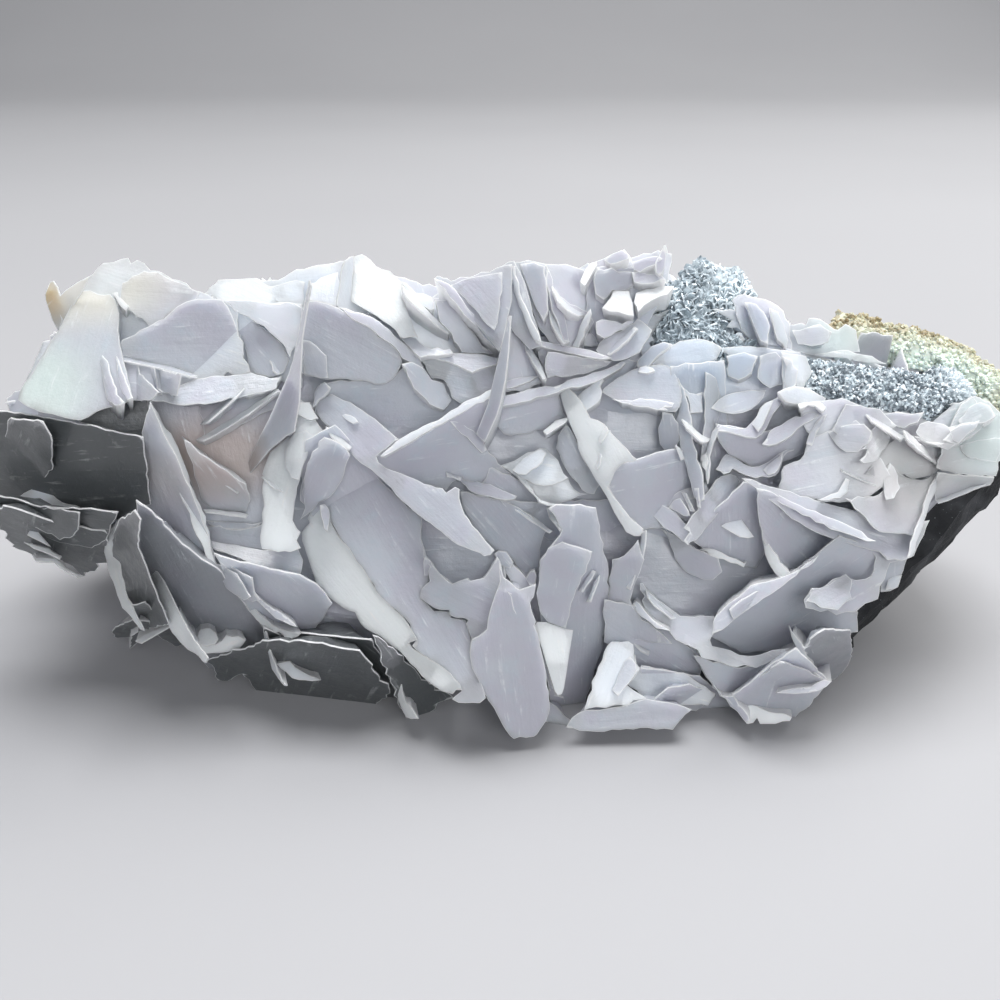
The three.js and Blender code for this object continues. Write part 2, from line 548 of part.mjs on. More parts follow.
function mass() {
  const random = seededRandom(4021);
  const block = welded(new THREE.BoxGeometry(1, 1, 1, ...MASS_FACES));
  const position = block.attributes.position;
  for (let i = 0; i < position.count; i += 1) {
    const direction = pointOf(position, i).normalize();
    const point = massPoint(direction).addScaledVector(direction, -MASS_ROUGHNESS * random());
    point.z -= Math.max(0, aboveSkyline(point) + MASS_BELOW_SKYLINE);
    position.setXYZ(i, point.x, point.y, point.z);
  }
  return toSolid(block);
}

// Scattered blade: a slightly long plate that overlaps its neighbours like a tile, with one edge sunk in
// the mass and the other standing out. It is set low enough to stay behind the skyline.
function scatteredBlade(index, random) {
  const share = (2 * (index + 0.5)) / SCATTERED_BLADES - 1;
  const along = Math.sign(share) * Math.abs(share) ** (1 / MASS_SQUARENESS);
  const round = SCATTER_START + SCATTER_SWEEP * ((index * SCATTER_STRIDE) % 1);
  const ring = Math.sqrt(1 - along * along);
  const outward = new THREE.Vector3(along, ring * Math.sin(round), ring * Math.cos(round));
  const reach = between(SCATTER_REACH, random());
  const spin = random() * Math.PI * 2;
  const sideways = new THREE.Vector3(Math.cos(spin), Math.sin(spin), Math.sin(spin * 3))
    .cross(outward).normalize();
  const facing = sideways.clone().multiplyScalar(between(SCATTER_SLANT, random()))
    .add(outward).normalize();
  const longAxis = sideways.clone().addScaledVector(facing, -sideways.dot(facing)).normalize();
  const shortAxis = facing.clone().cross(longAxis);
  const corners = [];
  for (let k = 0; k < SCATTER_CORNERS; k += 1) {
    const angle = ((k + CORNER_STRAY * random()) / SCATTER_CORNERS) * Math.PI * 2;
    const arm = reach * between(SCATTER_ARM, random());
    corners.push(new THREE.Vector2(arm * Math.cos(angle), arm * SCATTER_WIDTH * Math.sin(angle)));
  }
  const plate = new THREE.ExtrudeGeometry(
    new THREE.Shape(corners), { depth: SCATTER_THICKNESS, steps: 1, bevelEnabled: false });
  plate.applyMatrix4(new THREE.Matrix4().makeBasis(longAxis, shortAxis, facing));
  const seat = massPoint(outward).addScaledVector(facing, -SCATTER_THICKNESS / 2);
  plate.translate(seat.x, seat.y, seat.z);
  const position = plate.attributes.position;
  let proud = 0;
  for (let i = 0; i < position.count; i += 1) {
    proud = Math.max(proud, aboveSkyline(pointOf(position, i)));
  }
  plate.translate(0, 0, -proud);
  return toSolid(plate);
}

// The host rock, grown all round by a clearance where it is cut out of the calcite.
function rock(grow) {
  const points = ROCK_CORNERS.map(([x, y, z]) => new THREE.Vector3(x, y, z));
  if (grow > 0) {
    for (const point of [...points]) {
      for (let axis = 0; axis < 3; axis += 1) {
        const step = new THREE.Vector3().setComponent(axis, grow * Math.SQRT2);
        points.push(point.clone().add(step), point.clone().sub(step));
      }
    }
  }
  return toSolid(new ConvexGeometry(points));
}

function crystalLump({ at, half, tilt, seed }, grow) {
  const random = seededRandom(seed);
  const lump = welded(new THREE.DodecahedronGeometry(1, 0));
  const position = lump.attributes.position;
  for (let i = 0; i < position.count; i += 1) {
    const uneven = between(LUMP_UNEVEN, random());
    position.setXYZ(
      i,
      position.getX(i) * (half[0] * uneven + grow),
      position.getY(i) * (half[1] * uneven + grow),
      position.getZ(i) * (half[2] * uneven + grow));
  }
  lump.rotateX(THREE.MathUtils.degToRad(tilt[0]));
  lump.rotateY(THREE.MathUtils.degToRad(tilt[1]));
  lump.rotateZ(THREE.MathUtils.degToRad(tilt[2]));
  lump.translate(...at);
  return toSolid(lump);
}

function lumps(list, grow) {
  return joined(list.map((item) => crystalLump(item, grow)));
}

function calcite() {
  const random = seededRandom(977);
  const blades = FRONT_BLADES.map(frontBlade);
  for (let i = 0; i < SCATTERED_BLADES; i += 1) blades.push(scatteredBlade(i, random));
  return largestPart(cutLevel(joined([mass(), ...blades]))
    .subtract(rock(SEAT_GAP))
    .subtract(lumps(CREST_DRUSE, SEAT_GAP))
    .subtract(lumps(SHOULDER_DRUSE, SEAT_GAP))
    .subtract(lumps(RIND, SEAT_GAP)));
}

function shoulderDruse() {
  return largestPart(lumps(SHOULDER_DRUSE, 0).subtract(lumps(RIND, SEAT_GAP)));
}

function rind() {
  return largestPart(lumps(RIND, 0).subtract(rock(SEAT_GAP)));
}

function named(name, solid, colour, roughness) {
  const material = new THREE.MeshStandardMaterial({ color: colour, roughness, metalness: 0 });
  const mesh = new THREE.Mesh(toGeometry(solid), material);
  mesh.name = name;
  return mesh;
}

const specimen = new THREE.Group();
specimen.add(named("bladed_calcite", calcite(), 0xe4e4ec, 0.35));
specimen.add(named("dark_matrix", cutLevel(rock(0)), 0x17191b, 0.7));
specimen.add(named("druse_crest", lumps(CREST_DRUSE, 0), 0x8f9ba4, 0.2));
specimen.add(named("druse_shoulder", shoulderDruse(), 0x8c9095, 0.2));
specimen.add(named("ochre_rind", rind(), 0xb59a66, 0.6));

export default specimen;
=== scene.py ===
import math
import random

import bmesh
import bpy
import numpy as np
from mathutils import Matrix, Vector, bvhtree, geometry, noise


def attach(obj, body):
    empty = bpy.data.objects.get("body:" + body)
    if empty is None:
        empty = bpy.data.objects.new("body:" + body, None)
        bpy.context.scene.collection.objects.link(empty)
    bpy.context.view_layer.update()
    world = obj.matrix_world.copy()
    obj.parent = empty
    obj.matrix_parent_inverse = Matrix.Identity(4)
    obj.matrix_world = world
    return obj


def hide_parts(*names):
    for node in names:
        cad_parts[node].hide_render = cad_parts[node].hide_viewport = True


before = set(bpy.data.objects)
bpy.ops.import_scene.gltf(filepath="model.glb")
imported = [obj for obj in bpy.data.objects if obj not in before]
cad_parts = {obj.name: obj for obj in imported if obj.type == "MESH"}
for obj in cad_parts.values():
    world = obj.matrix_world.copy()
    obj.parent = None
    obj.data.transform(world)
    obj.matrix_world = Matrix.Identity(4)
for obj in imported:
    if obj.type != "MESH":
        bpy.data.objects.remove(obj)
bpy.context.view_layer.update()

# Calcite: thin pale blades grown through one another into a single piece, with a solid mass behind
# them. The front blades are drawn one by one; those of the back and top are scattered over the mass.
# All lengths in this section are in millimetres until the mesh is made.
MM = 0.001

# Front wall that the blades stand on: it leans back as it rises and bows back towards both ends.
WALL_FOOT = 36
WALL_LEAN = 0.26
WALL_STRAIGHT = 62
WALL_BOW = 0.015

# The blades are set out on a sight grid of 1000 by 1000 units, seen from a point in front of and
# above the specimen, along a line that dips towards it.
SIGHT_POINT = np.array([0.0, -182.0, 110.0])
SIGHT_DIP = math.radians(25)
SIGHT_UNITS = 1080
GRID_MIDDLE = 500
SIGHT_AHEAD = np.array([0.0, math.cos(SIGHT_DIP), -math.sin(SIGHT_DIP)])
SIGHT_UP = np.array([0.0, math.sin(SIGHT_DIP), math.cos(SIGHT_DIP)])
SIDEWAYS = np.array([1.0, 0.0, 0.0])
UPWARDS = np.array([0.0, 0.0, 1.0])

# Each blade has how far it stands proud of the wall, how far it is turned to the right and leant back
# in degrees, its thickness, how ragged its edge is, how milky it is from 0, smoky, to 4, snow white,
# and its outline on the sight grid as pairs. The milkiness also paints light and shade into the colour:
# shaded blades, most of them at the lower left, are set smoky as painted shade, and lit rims, edge-on
# lines and bright facets are set milky or snow white as painted highlight.
BLADES = {}

# Left end: a broad tilted plate with the crest behind it and thick ledges below.
# Shaded plates and ledges here are set smoky as painted shade; the keel's rim and line are painted
# highlight.
BLADES["left_shoulder"] = {
    "amber_tip": (-2.6, -30, 5, 1.6, 0, 2,
        "90,276 84,288 58,330 53,321 46,301 45,294 50,282 53,281 57,287 60,296 66,290 78,282"),
    "left_back_crest": (-3.6, -9, 23, 3, 0.6, 3,
        "60,297 68,289 93,274 97,268 103,263 114,262 128,258 131,264 137,260 144,263 150,270 158,271 "
        "163,273 172,279 186,283 201,292 222,299 235,305 250,372 200,380 140,366 90,345 60,328"),
    "crest_wedge": (-1.1, -32, 48, 1.6, 0.3, 3, "112,293 117,292 122,299 128,305 125,310 118,303"),
    "left_mint_blade": (2.0, -14, 40, 1.8, 0.15, 2,
        "18,400 21,388 30,376 51,340 58,330 72,303 80,291 90,290 98,294 110,294 115,300 119,314 118,330 "
        "120,346 129,384 131,398 122,404 104,408 80,420 66,418 52,414 40,412 28,407"),
    "mint_fold_a": (6.2, -48, 36, 1.4, 0.3, 2, "100,352 106,360 116,394 123,402 114,405 106,396 99,362"),
    "mint_fold_b": (5.0, -48, 26, 1.4, 0.3, 2, "116,356 132,398 127,400 121,388 117,372"),
    "far_left_sliver": (-2.2, -10, 62, 1.6, 0.3, 2,
        "-34,410 -20,404 8,397 17,398 19,403 38,413 28,413 0,410 -22,412"),
    "left_roof_strip": (0.8, 8, 16, 2, 0.3, 0,
        "72,414 84,408 100,402 118,398 136,396 148,397 150,416 146,436 130,434 82,423"),
    "left_shadow_plate": (0.4, -19, -11, 9, 0.3, 0,
        "-50,462 -36,425 -6,411 20,413 50,418 112,431 142,438 150,505 118,520 60,515 10,505 -30,505"),
    "left_shadow_lobe": (1.4, -31, -19, 2, 0.3, 0,
        "10,418 42,422 50,436 52,452 52,470 44,479 28,478 16,472 8,456 5,436"),
    "shadow_pane": (0.3, 4, -8, 1.8, 0.3, 0,
        "122,456 129,453 142,452 143,470 150,506 140,500 128,488 120,476 118,462"),
    "lower_chip": (-2.7, -10, 50, 1.6, 0.3, 3,
        "16,499 24,493 34,488 42,487 62,502 82,508 76,510 52,505 40,506 26,504"),
    "lower_left_ledge": (1.1, -19, -23, 8, 0.3, 0,
        "-42,492 10,498 40,507 84,509 118,512 106,540 92,548 60,543 30,530 -20,516"),
    "ledge_tongue": (2, -32, -2, 2.2, 0.3, 0,
        "16,505 26,505 80,512 78,530 70,538 60,540 52,534 28,525 20,519"),
    "lower_left_keel": (-2.6, -15, -37, 7, 0.6, 0,
        "-28,510 10,508 60,525 104,532 107,545 108,560 101,563 96,570 84,573 82,577 74,574 66,569 "
        "56,560 36,559 32,555 12,546 5,531 -14,524"),
    "keel_chip": (0.4, -6, 56, 1.4, 0, 3, "30,530 34,527 51,547 27,535"),
    "keel_line": (-14.4, 90, 70, 1.2, 0.3, 4, "24,542 50,549 62,556 60,559 48,553 34,548"),
    "keel_rim": (-15.7, 89, 69, 1.2, 0.3, 4,
        "32,555 36,558 56,559 66,567 83,576 78,578 66,571 54,562 36,561"),
}

# Rounded veil-like blade with small tent-shaped ones along its foot.
BLADES["left_veil"] = {
    "arc_veil": (-1.6, -6, 30, 1.6, 0.3, 2,
        "200,292 196,299 172,310 162,320 154,330 146,322 136,317 126,309 120,299 122,283 132,276 "
        "144,271 158,272 172,280 186,285"),
    "rounded_veil": (0.2, 5, 7, 1.6, 0.3, 2,
        "247,370 228,376 210,379 200,378 188,372 168,366 118,356 122,340 140,330 165,318 178,306 "
        "196,299 214,299 222,300 228,307 238,332 244,352"),
    "tent_pane": (2.0, 7, 34, 1.5, 0.3, 2, "118,358 150,364 196,378 190,392 158,394 120,404 130,398"),
    "tent_left": (2.6, -56, 18, 1.4, 0.3, 2, "137,362 139,374 158,392 150,400 135,401 134,386"),
    "tent_right": (2.1, -58, 10, 1.4, 0.3, 2, "152,368 156,380 162,393 176,396 180,374"),
    "lattice_top": (7.1, 77, 77, 1.3, 0, 2, "117,355 124,355 158,362 198,376 190,376 156,367 122,360"),
    "lattice_left": (-0.8, -57, 17, 1.2, 0, 2,
        "138,362 134.5,384 135.5,400 132.5,400 131.5,386 133,372 135,362"),
    "lattice_mid": (0.9, -62, -3, 1.2, 0, 2, "151,368 154,368 157,388 162,392 158,394 153.5,388 151.5,378"),
    "lattice_slant": (6.4, 83, 52, 1.2, 0, 2, "137,373 140,374 150,381 161,392 158,394 149,387 141,380"),
    "horizon_lens": (2.6, -1, 45, 1.5, 0.3, 2,
        "148,399 190,381 204,378 250,372 270,378 280,377 276,388 262,392 205,404 184,405"),
    "horizon_lens_low": (-1.9, -1, 33, 1.5, 0.3, 2, "288,392 276,408 205,440 200,406 280,390"),
    "cross_line": (4.4, -86, 60, 1.2, 0.3, 4, "196,440 246,410 277,389 280,391 248,414 216,434 203,441"),
    "cross_line_two": (3.8, -88, 50, 1.2, 0.3, 4, "200,424 226,398 240,386 244,388 234,399 208,422"),
}

# Left of the middle: the wing, the tall spire and the shelves under it.
BLADES["left_middle"] = {
    "left_wing_face": (1.9, -24, -6, 1.8, 0.3, 2,
        "150,402 162,430 176,456 190,488 208,535 219,573 210,570 184,549 170,536 140,500 128,489 "
        "120,478 118,466 122,456 129,453 143,452 142,432"),
    "left_wing_rim": (4.9, 42, 24, 2.0, 0.3, 4,
        "150,401 178,447 194,491 206,517 212,553 218,573 212,568 180,494 157,447 153,434 151,420"),
    "wing_ridge": (-2.1, 79, 27, 1.2, 0.3, 3, "152,404 158,413 170,440 188,494 184,488 154,414"),
    "wing_foot_line": (5.4, 85, 59, 1.2, 0.3, 4, "181,543 200,557 223,571 222,574 212,570 190,555"),
    "brown_floor": (-3.6, 7, 13, 9, 0.3, 2,
        "150,400 200,402 250,394 290,392 296,440 280,520 262,548 210,545 190,480"),
    "double_edge_far": (3, 91, 58, 1.3, 0, 3,
        "182,436 214,460 233,471 246,482 243,484 229,473 220,469 200,455 190,447"),
    "double_edge_split": (3.4, 87, 50, 1.3, 0, 3, "227,470 245,485 243,488 234,481"),
    "double_edge_near": (3.4, 90, 55, 1.3, 0, 3, "196,456 241,491 238,493 208,472 199,463"),
    "floor_pane": (0.4, -9, -17, 1.5, 0.3, 2, "184,440 206,457 246,484 250,500 246,512 214,510 202,500"),
    "tall_spire": (6.3, -52, 4, 1.8, 0, 2,
        "307,280 309,286 301,340 299,402 294,432 286,436 270,449 246,476 240,480 238,478 268,420 "
        "289,374 293,360"),
    "ivory_patch": (1.5, -17, 35, 5, 0.3, 4,
        "300,399 310,402 313,412 324,432 306,452 296,494 292,520 296,528 300,532 296,540 300,548 "
        "290,552 278,552 262,549 260,536 264,506 262,492 264,478 262,474 270,452 280,443 292,435 "
        "297,420"),
    "ivory_facet": (1.8, -24, 50, 1.6, 0.3, 4,
        "306,430 316,436 308,450 303,464 299,480 292,478 286,468 284,452 288,440 294,434"),
    "ivory_line": (7.8, 80, 65, 1.3, 0.3, 4, "262,476 295,493 293,496 281,491 270,485"),
    "ivory_line_two": (-4.8, 79, 61, 1.3, 0.3, 4, "266,497 272,501 280,504 288,510 290,514 274,505"),
    "ivory_bump": (-2.0, -12, 38, 1.4, 0.3, 4, "300,402 310,403 314,412 318,418 310,420 298,414"),
    "shelf_line": (-9.5, 72, 84, 1.3, 0.3, 4, "203,509 214,509 240,512 248,514 246,517 206,512"),
    "shelf_upper": (-3.3, 0, 52, 1.4, 0.3, 2, "206,520 252,524 262,522 256,527 244,529 222,528 210,525"),
    "shelf_wall": (-1.8, -4, 8, 6, 0.3, 2, "206,526 240,530 264,524 268,556 210,545"),
    "shelf_lower": (-1.3, 6, 56, 1.6, 0.3, 2,
        "208,540 256,549 272,550 290,544 298,549 303,560 300,576 288,574 260,566 218,551 211,548"),
    "cup_side": (3.8, -34, -4, 1.6, 0.3, 2,
        "214,554 232,568 252,578 254,592 260,600 252,602 242,594 224,570"),
    "lower_cup": (1.4, -7, -19, 8, 0.3, 2,
        "214,553 240,562 300,575 316,584 332,604 322,620 310,631 285,638 268,632 250,612 234,588"),
    "lower_cup_band": (5.3, -14, 36, 1.5, 0.3, 2,
        "246,586 253,588 264,602 288,618 294,623 297,627 290,625 270,613 255,599"),
    "lower_cup_rim": (2.4, -32, 28, 1.5, 0.3, 4,
        "240,597 246,599 258,613 274,626 284,630 300,633 296,637 290,639 268,629 260,623 253,616"),
    "cup_facet": (3.8, -40, 2, 1.6, 0.3, 2, "216,564 226,568 236,574 250,597 244,600 226,588 220,578"),
}

# Hanging petals of the lower left, with short spikes under them.
# The petals and spikes here are set smoky as painted shade, their rims and glints snow white as painted
# highlight.
BLADES["lower_left"] = {
    "dark_plate": (-1.6, -15, -25, 9, 0.3, 1,
        "136,500 152,512 182,545 222,573 246,606 264,628 272,668 256,681 236,683 218,679 188,644 "
        "172,618 152,582 138,550"),
    "dark_fold": (1, 89, 69, 1.2, 0.3, 1, "182,570 224,589 230,594 214,591 198,585 186,578"),
    "petal_one": (2.2, -45, -13, 2.2, 0.3, 0,
        "134,510 140,520 138,536 138,548 168,624 144,631 134,617 122,594 114,566 112,550 113,534 "
        "118,521"),
    "petal_one_rim": (-0.1, -42, 10, 1.8, 0.3, 4,
        "118,521 110,530 105,538 103,533 99,533 101,538 105,543 104,552 110,576 122,608 144,631 127,598 "
        "121,576 117,548"),
    "petal_one_ridge": (-2.6, 77, 32, 1.2, 0.3, 3, "124,588 137,617 145,630 141,629 134,620 125,598"),
    "petal_two_rim": (2.3, -46, 8, 1.8, 0.3, 4,
        "137,545 144,567 161,602 164,615 169,627 176,637 184,646 206,663 208,658 194,640 188,630 "
        "164,582 157,572 150,566 143,558"),
    "petal_two_ridge": (-3.4, 77, 33, 1.2, 0.3, 3, "180,606 200,644 196,643 190,632 184,620"),
    "glint_shelf": (-1.7, -10, 14, 1.6, 0.3, 4,
        "198,642 206,646 216,644 226,635 238,636 246,640 240,648 228,652 214,653 200,652"),
    "glint_facet": (-2.3, -24, 58, 1.4, 0, 4,
        "196,640 200,630 206,628 210,628 216,633 218,639 214,644 206,646 199,644"),
    "low_spike_left": (-2.6, -6, -44, 2, 0.3, 0,
        "146,600 156,616 150,630 132,636 116,637 112,631 120,625 134,619 132,604"),
    "low_spike_low": (-2.6, 6, -46, 1.4, 0.3, 0, "150,622 148,632 130,648 131,636 138,632 140,620"),
    "low_needle": (-6.3, -68, 69, 1.3, 0, 4, "135,641 144,635 168,624 169,627 141,643"),
    "low_spike_right": (-2.6, 0, -44, 2, 0.3, 0, "164,612 174,616 178,630 184,644 176,647 156,634"),
}

# Shaded blades that curl under, left of the middle of the foot.
# The blades here are set smoky as painted shade, and the wing's rim snow white as painted highlight.
BLADES["foot_left"] = {
    "hanging_edge": (2.2, -55, 0, 1.6, 0.3, 3,
        "264,626 267,634 269,646 273,660 277,671 282,681 287,686 282,683 272,669 266,644"),
    "hanging_blade": (-3, -7, -29, 8, 0.3, 0,
        "264,628 280,636 296,637 300,633 372,640 388,672 400,704 406,717 398,718 388,715 378,708 "
        "372,702 346,690 330,685 290,686 280,681 274,668"),
    "hanging_chip": (3.4, -2, 44, 1.4, 0.3, 3,
        "277,664 290,661 295,667 303,672 321,680 312,681 292,678 286,672 280,668"),
    "underside_left": (-4, -11, -31, 8, 0.6, 0,
        "390,690 376,705 373,705 370,713 360,712 354,709 350,720 336,731 312,731 306,725 299,721 "
        "294,715 284,714 276,711 266,702 257,692 250,682 242,674 228,681 218,680 215,676 214,668 "
        "206,662 220,655 240,650 262,640 300,640 360,650"),
    "hanging_wing": (1, 29, -15, 2.2, 0.6, 0,
        "372,634 386,642 396,650 420,676 430,684 440,690 450,694 453,697 444,700 418,719 406,718 "
        "400,708 387,668 380,650"),
    "hanging_wing_rim": (2.2, -46, 6, 1.6, 0.3, 4,
        "391,650 396,655 402,692 405,702 410,706 418,719 411,719 406,717 402,710 399,702 397,692"),
    "wing_side_strip": (-0.7, 40, 0, 1.5, 0.3, 0,
        "385,654 390,656 394,668 397,692 392,684 388,674 385,664"),
}

# The largest petal, with a ragged free edge.
BLADES["ragged_petal"] = {
    "ragged_petal": (4.8, -12.5, 30, 2.4, 0.3, 2,
        "350,456 374,474 396,496 421,517 421,530 424,548 424,558 430,565 428,574 429,584 421,592 "
        "422,600 434,611 450,612 451,618 465,620 471,640 470,652 474,668 482,684 486,698 480,703 "
        "466,703 452,699 462,691 458,684 448,672 412,646 417,639 410,624 380,596 370,580 344,544 "
        "332,522 322,503 330,497 342,480"),
    "petal_bright": (3.3, -19, 24, 2.2, 0.15, 4,
        "315,504 314,508 308,518 310,523 302,532 302,540 316,583 322,588 325,593 330,598 338,604 "
        "350,611 355,612 361,624 365,628 380,636 392,646 400,651 410,663 416,668 422,676 436,687 "
        "443,691 453,694 456,690 462,690 460,684 444,668 412,648 409,643 417,640 408,624 402,616 "
        "378,594 364,570 356,560 350,549 342,541 336,531 323,503"),
    "petal_fold": (2.9, 32, 34, 1.6, 0.3, 2, "320,505 325,504 330,516 328,532 324,528 321,516"),
    "petal_hollow": (0.4, 6, -22, 2, 0.3, 2,
        "424,552 436,570 452,584 470,586 474,606 452,616 440,611 424,602"),
    "petal_back_ridge": (-0.1, 40, 2, 1.6, 0.3, 3, "428,614 436,622 449,647 456,658 450,654 434,630"),
    "petal_shadow_root": (-7.5, 10, -6, 9, 0.3, 2,
        "305,440 335,425 380,470 440,520 436,600 470,660 478,684 458,692 420,640 350,560 300,500"),
    "upper_petal_pane": (1.5, -8, -10, 2, 0.3, 2,
        "300,520 305,508 302,492 306,470 312,452 324,438 340,444 350,456 342,480 330,497 318,503 "
        "312,511"),
    "glint_a": (-5.7, 72, 47, 1.2, 0.3, 4, "453,653 457,653 463,662 458,659"),
    "glint_b": (-7.8, 73, 61, 1.2, 0.3, 4, "449,660 453,661 458,664 457,667 451,664"),
}

# Slanting ribbon and the flaps, arcs and faces it rises from.
BLADES["ribbon"] = {
    "ribbon": (7.4, -26, 30, 2.4, 0.15, 2,
        "318,400 324,396 332,394 350,402 374,418 398,439 376,456 378,462 386,468 400,473 424,484 "
        "442,488 446,493 455,487 459,489 459,498 464,514 486,542 494,550 490,555 484,556 480,553 "
        "458,545 420,516 401,500 386,483 372,470 362,464 354,457 322,421 315,410"),
    "ribbon_line": (5.2, 73, 53, 1.2, 0, 4, "326,426 334,431 352,447 350,450 332,437"),
    "ribbon_chip": (-0.0, -40, 44, 1.3, 0.3, 3, "340,412 350,415 358,422 352,423 344,418"),
    "ribbon_bump": (-2.3, 20, 40, 1.4, 0.3, 2,
        "456,487 459,490 459,498 461,506 455,510 450,505 448,497 451,492"),
    "ribbon_flap": (0.7, 9, -11, 2.0, 0.3, 2,
        "376,457 382,450 444,418 458,408 466,404 496,396 488,425 482,442 498,464 512,474 506,480 "
        "494,480 480,484 460,478 452,482 446,490 436,486 424,484 386,468 378,463"),
    "flap_edge": (5.5, -4, 28, 1.5, 0.3, 3,
        "380,456 398,440 444,416 464,402 480,396 498,386 498,392 484,402 470,408 394,451 384,456"),
    "flap_fold": (2.8, 24, 14, 1.4, 0.3, 2, "450,421 462,423 483,441 487,450 482,453 456,428"),
    "small_lens": (-1.5, -8, 42, 1.4, 0.3, 2,
        "459,478 466,480 474,480 482,483 490,484 517,496 515,499 508,500 498,499 480,495 472,492 "
        "468,489 466,486 462,483"),
    "lens_tail": (2.9, 68, 74, 1.2, 0.3, 2, "446,472 462,477 461,480 454,477 447,476"),
    "grey_arc_blade": (-1.3, 2, 4, 2.4, 0.3, 2,
        "308,301 316,301 328,304 338,308 362,322 396,349 400,354 402,362 398,372 392,380 384,384 "
        "360,380 340,379 328,380 306,376 301,372 300,350 301,310"),
    "arc_pane": (-0.2, -20, 2, 1.4, 0.3, 2, "302,340 316,346 326,356 328,378 316,377 304,374"),
    "arc_band": (-1.0, 18, 16, 2.0, 0.3, 2,
        "338,307 362,313 372,317 390,330 398,339 420,360 424,370 430,378 426,380 420,375 414,365 "
        "402,358 396,348 374,331 348,315"),
    "lavender_face": (-3.6, 4, -4, 9, 0.3, 2,
        "320,384 340,380 372,382 390,380 400,370 410,362 420,362 430,379 450,384 500,372 500,392 "
        "430,428 398,441 384,426 360,410 330,396"),
    "lavender_fold": (-0.6, 30, 10, 1.6, 0.3, 2,
        "402,364 412,362 420,366 432,380 444,384 452,400 444,410 430,404 414,388"),
    "lavender_face_two": (-1.8, -7, 15, 3, 0.3, 2,
        "420,358 432,356 446,358 458,366 470,371 486,368 498,362 499,372 498,384 494,390 462,404 "
        "452,398 449,388 444,380 432,378"),
    "lens_plate": (-1.7, -4, 46, 1.6, 0.3, 2,
        "416,357 428,354 460,353 478,354 499,358 497,364 472,372 452,363 440,360"),
    "under_facet": (-1.4, -36, 14, 1.5, 0.3, 2, "324,382 330,388 324,396 312,408 314,392 318,386"),
}

# Crest, left of the middle.
BLADES["crest_left"] = {
    "crest_white": (-6.6, -8, 34, 3, 0.15, 4,
        "206,293 209,288 215,284 218,280 256,278 270,286 286,302 286,330 240,330 222,302"),
    "crest_pale": (-8.6, 8, 10, 4, 0.3, 3,
        "256,278 264,281 278,280 290,273 318,265 334,263 340,261 345,261 350,257 352,300 340,312 "
        "300,312 284,303 268,287"),
    "crest_ragged": (-4.6, 4, 32, 1.5, 0.3, 3,
        "268,287 296,280 305,282 304,300 302,308 292,303 285,304 276,301"),
    "crest_cream": (-4.6, -4, 42, 1.5, 0.3, 3, "338,272 340,290 338,307 318,301 308,301 309,284 320,278"),
    "under_crest": (-3.6, 0, 8, 8, 0.3, 3, "218,300 240,300 302,304 302,388 280,380 246,372 232,330"),
    "under_arc": (-1.6, 12, 24, 1.6, 0.3, 2,
        "222,300 240,300 280,304 294,303 302,308 300,330 296,346 290,358 284,345 264,326 250,318 "
        "236,312"),
    "under_arc_two": (-2.6, -11, 21, 1.6, 0.3, 2,
        "232,314 248,319 262,327 274,337 283,347 289,360 284,372 270,377 250,372 246,350 238,332"),
    "under_mark": (-3.1, 71, 42, 1.2, 0.3, 2, "270,360 274,363 282,373 278,374 273,370"),
    "under_lines": (-8.8, -79, 78, 1.2, 0.3, 4, "242,384 270,379 282,375 280,379 266,383 252,386"),
    "under_lines_two": (-9.0, -79, 78, 1.2, 0.3, 4, "236,394 278,384 276,388 248,396"),
    "crest_side": (-3.6, 52, 6, 2.0, 0.3, 3,
        "350,257 354,256 351,300 372,313 364,314 340,308 337,305 342,268 345,261"),
    "crest_bright": (-3.6, -3, 39, 3, 0.15, 4,
        "354,256 362,254 366,256 371,260 376,266 382,269 390,271 401,282 404,302 418,337 412,336 "
        "404,338 400,337 396,330 390,325 351,301 351,290"),
    "crest_right_face": (-6.6, 14, 20, 4, 0.3, 3,
        "400,281 406,284 416,293 432,297 462,352 440,356 416,350 404,330"),
    "crest_lobe": (-3.6, -12, 34, 1.5, 0.3, 3,
        "401,281 416,293 431,297 434,303 434,309 430,310 422,305 407,291"),
    "crest_needle": (-2.0, 82, 38, 1.2, 0, 4, "401,283 440,323 451,332 449,334 438,326 416,307 406,296"),
    "ragged_ledge": (-1.0, -6, 60, 1.5, 0.3, 2,
        "400,337 416,338 426,347 432,349 437,347 444,350 450,349 453,353 428,355 420,357 414,352"),
    "backing_notch": (-7.6, -4, 20, 7, 0.3, 2, "430,298 452,298 478,322 502,352 502,380 470,372 448,354"),
    "notch_pane": (-3.6, 16, 16, 1.6, 0.3, 2,
        "435,300 450,300 458,314 482,346 496,354 462,352 452,334 440,322"),
}

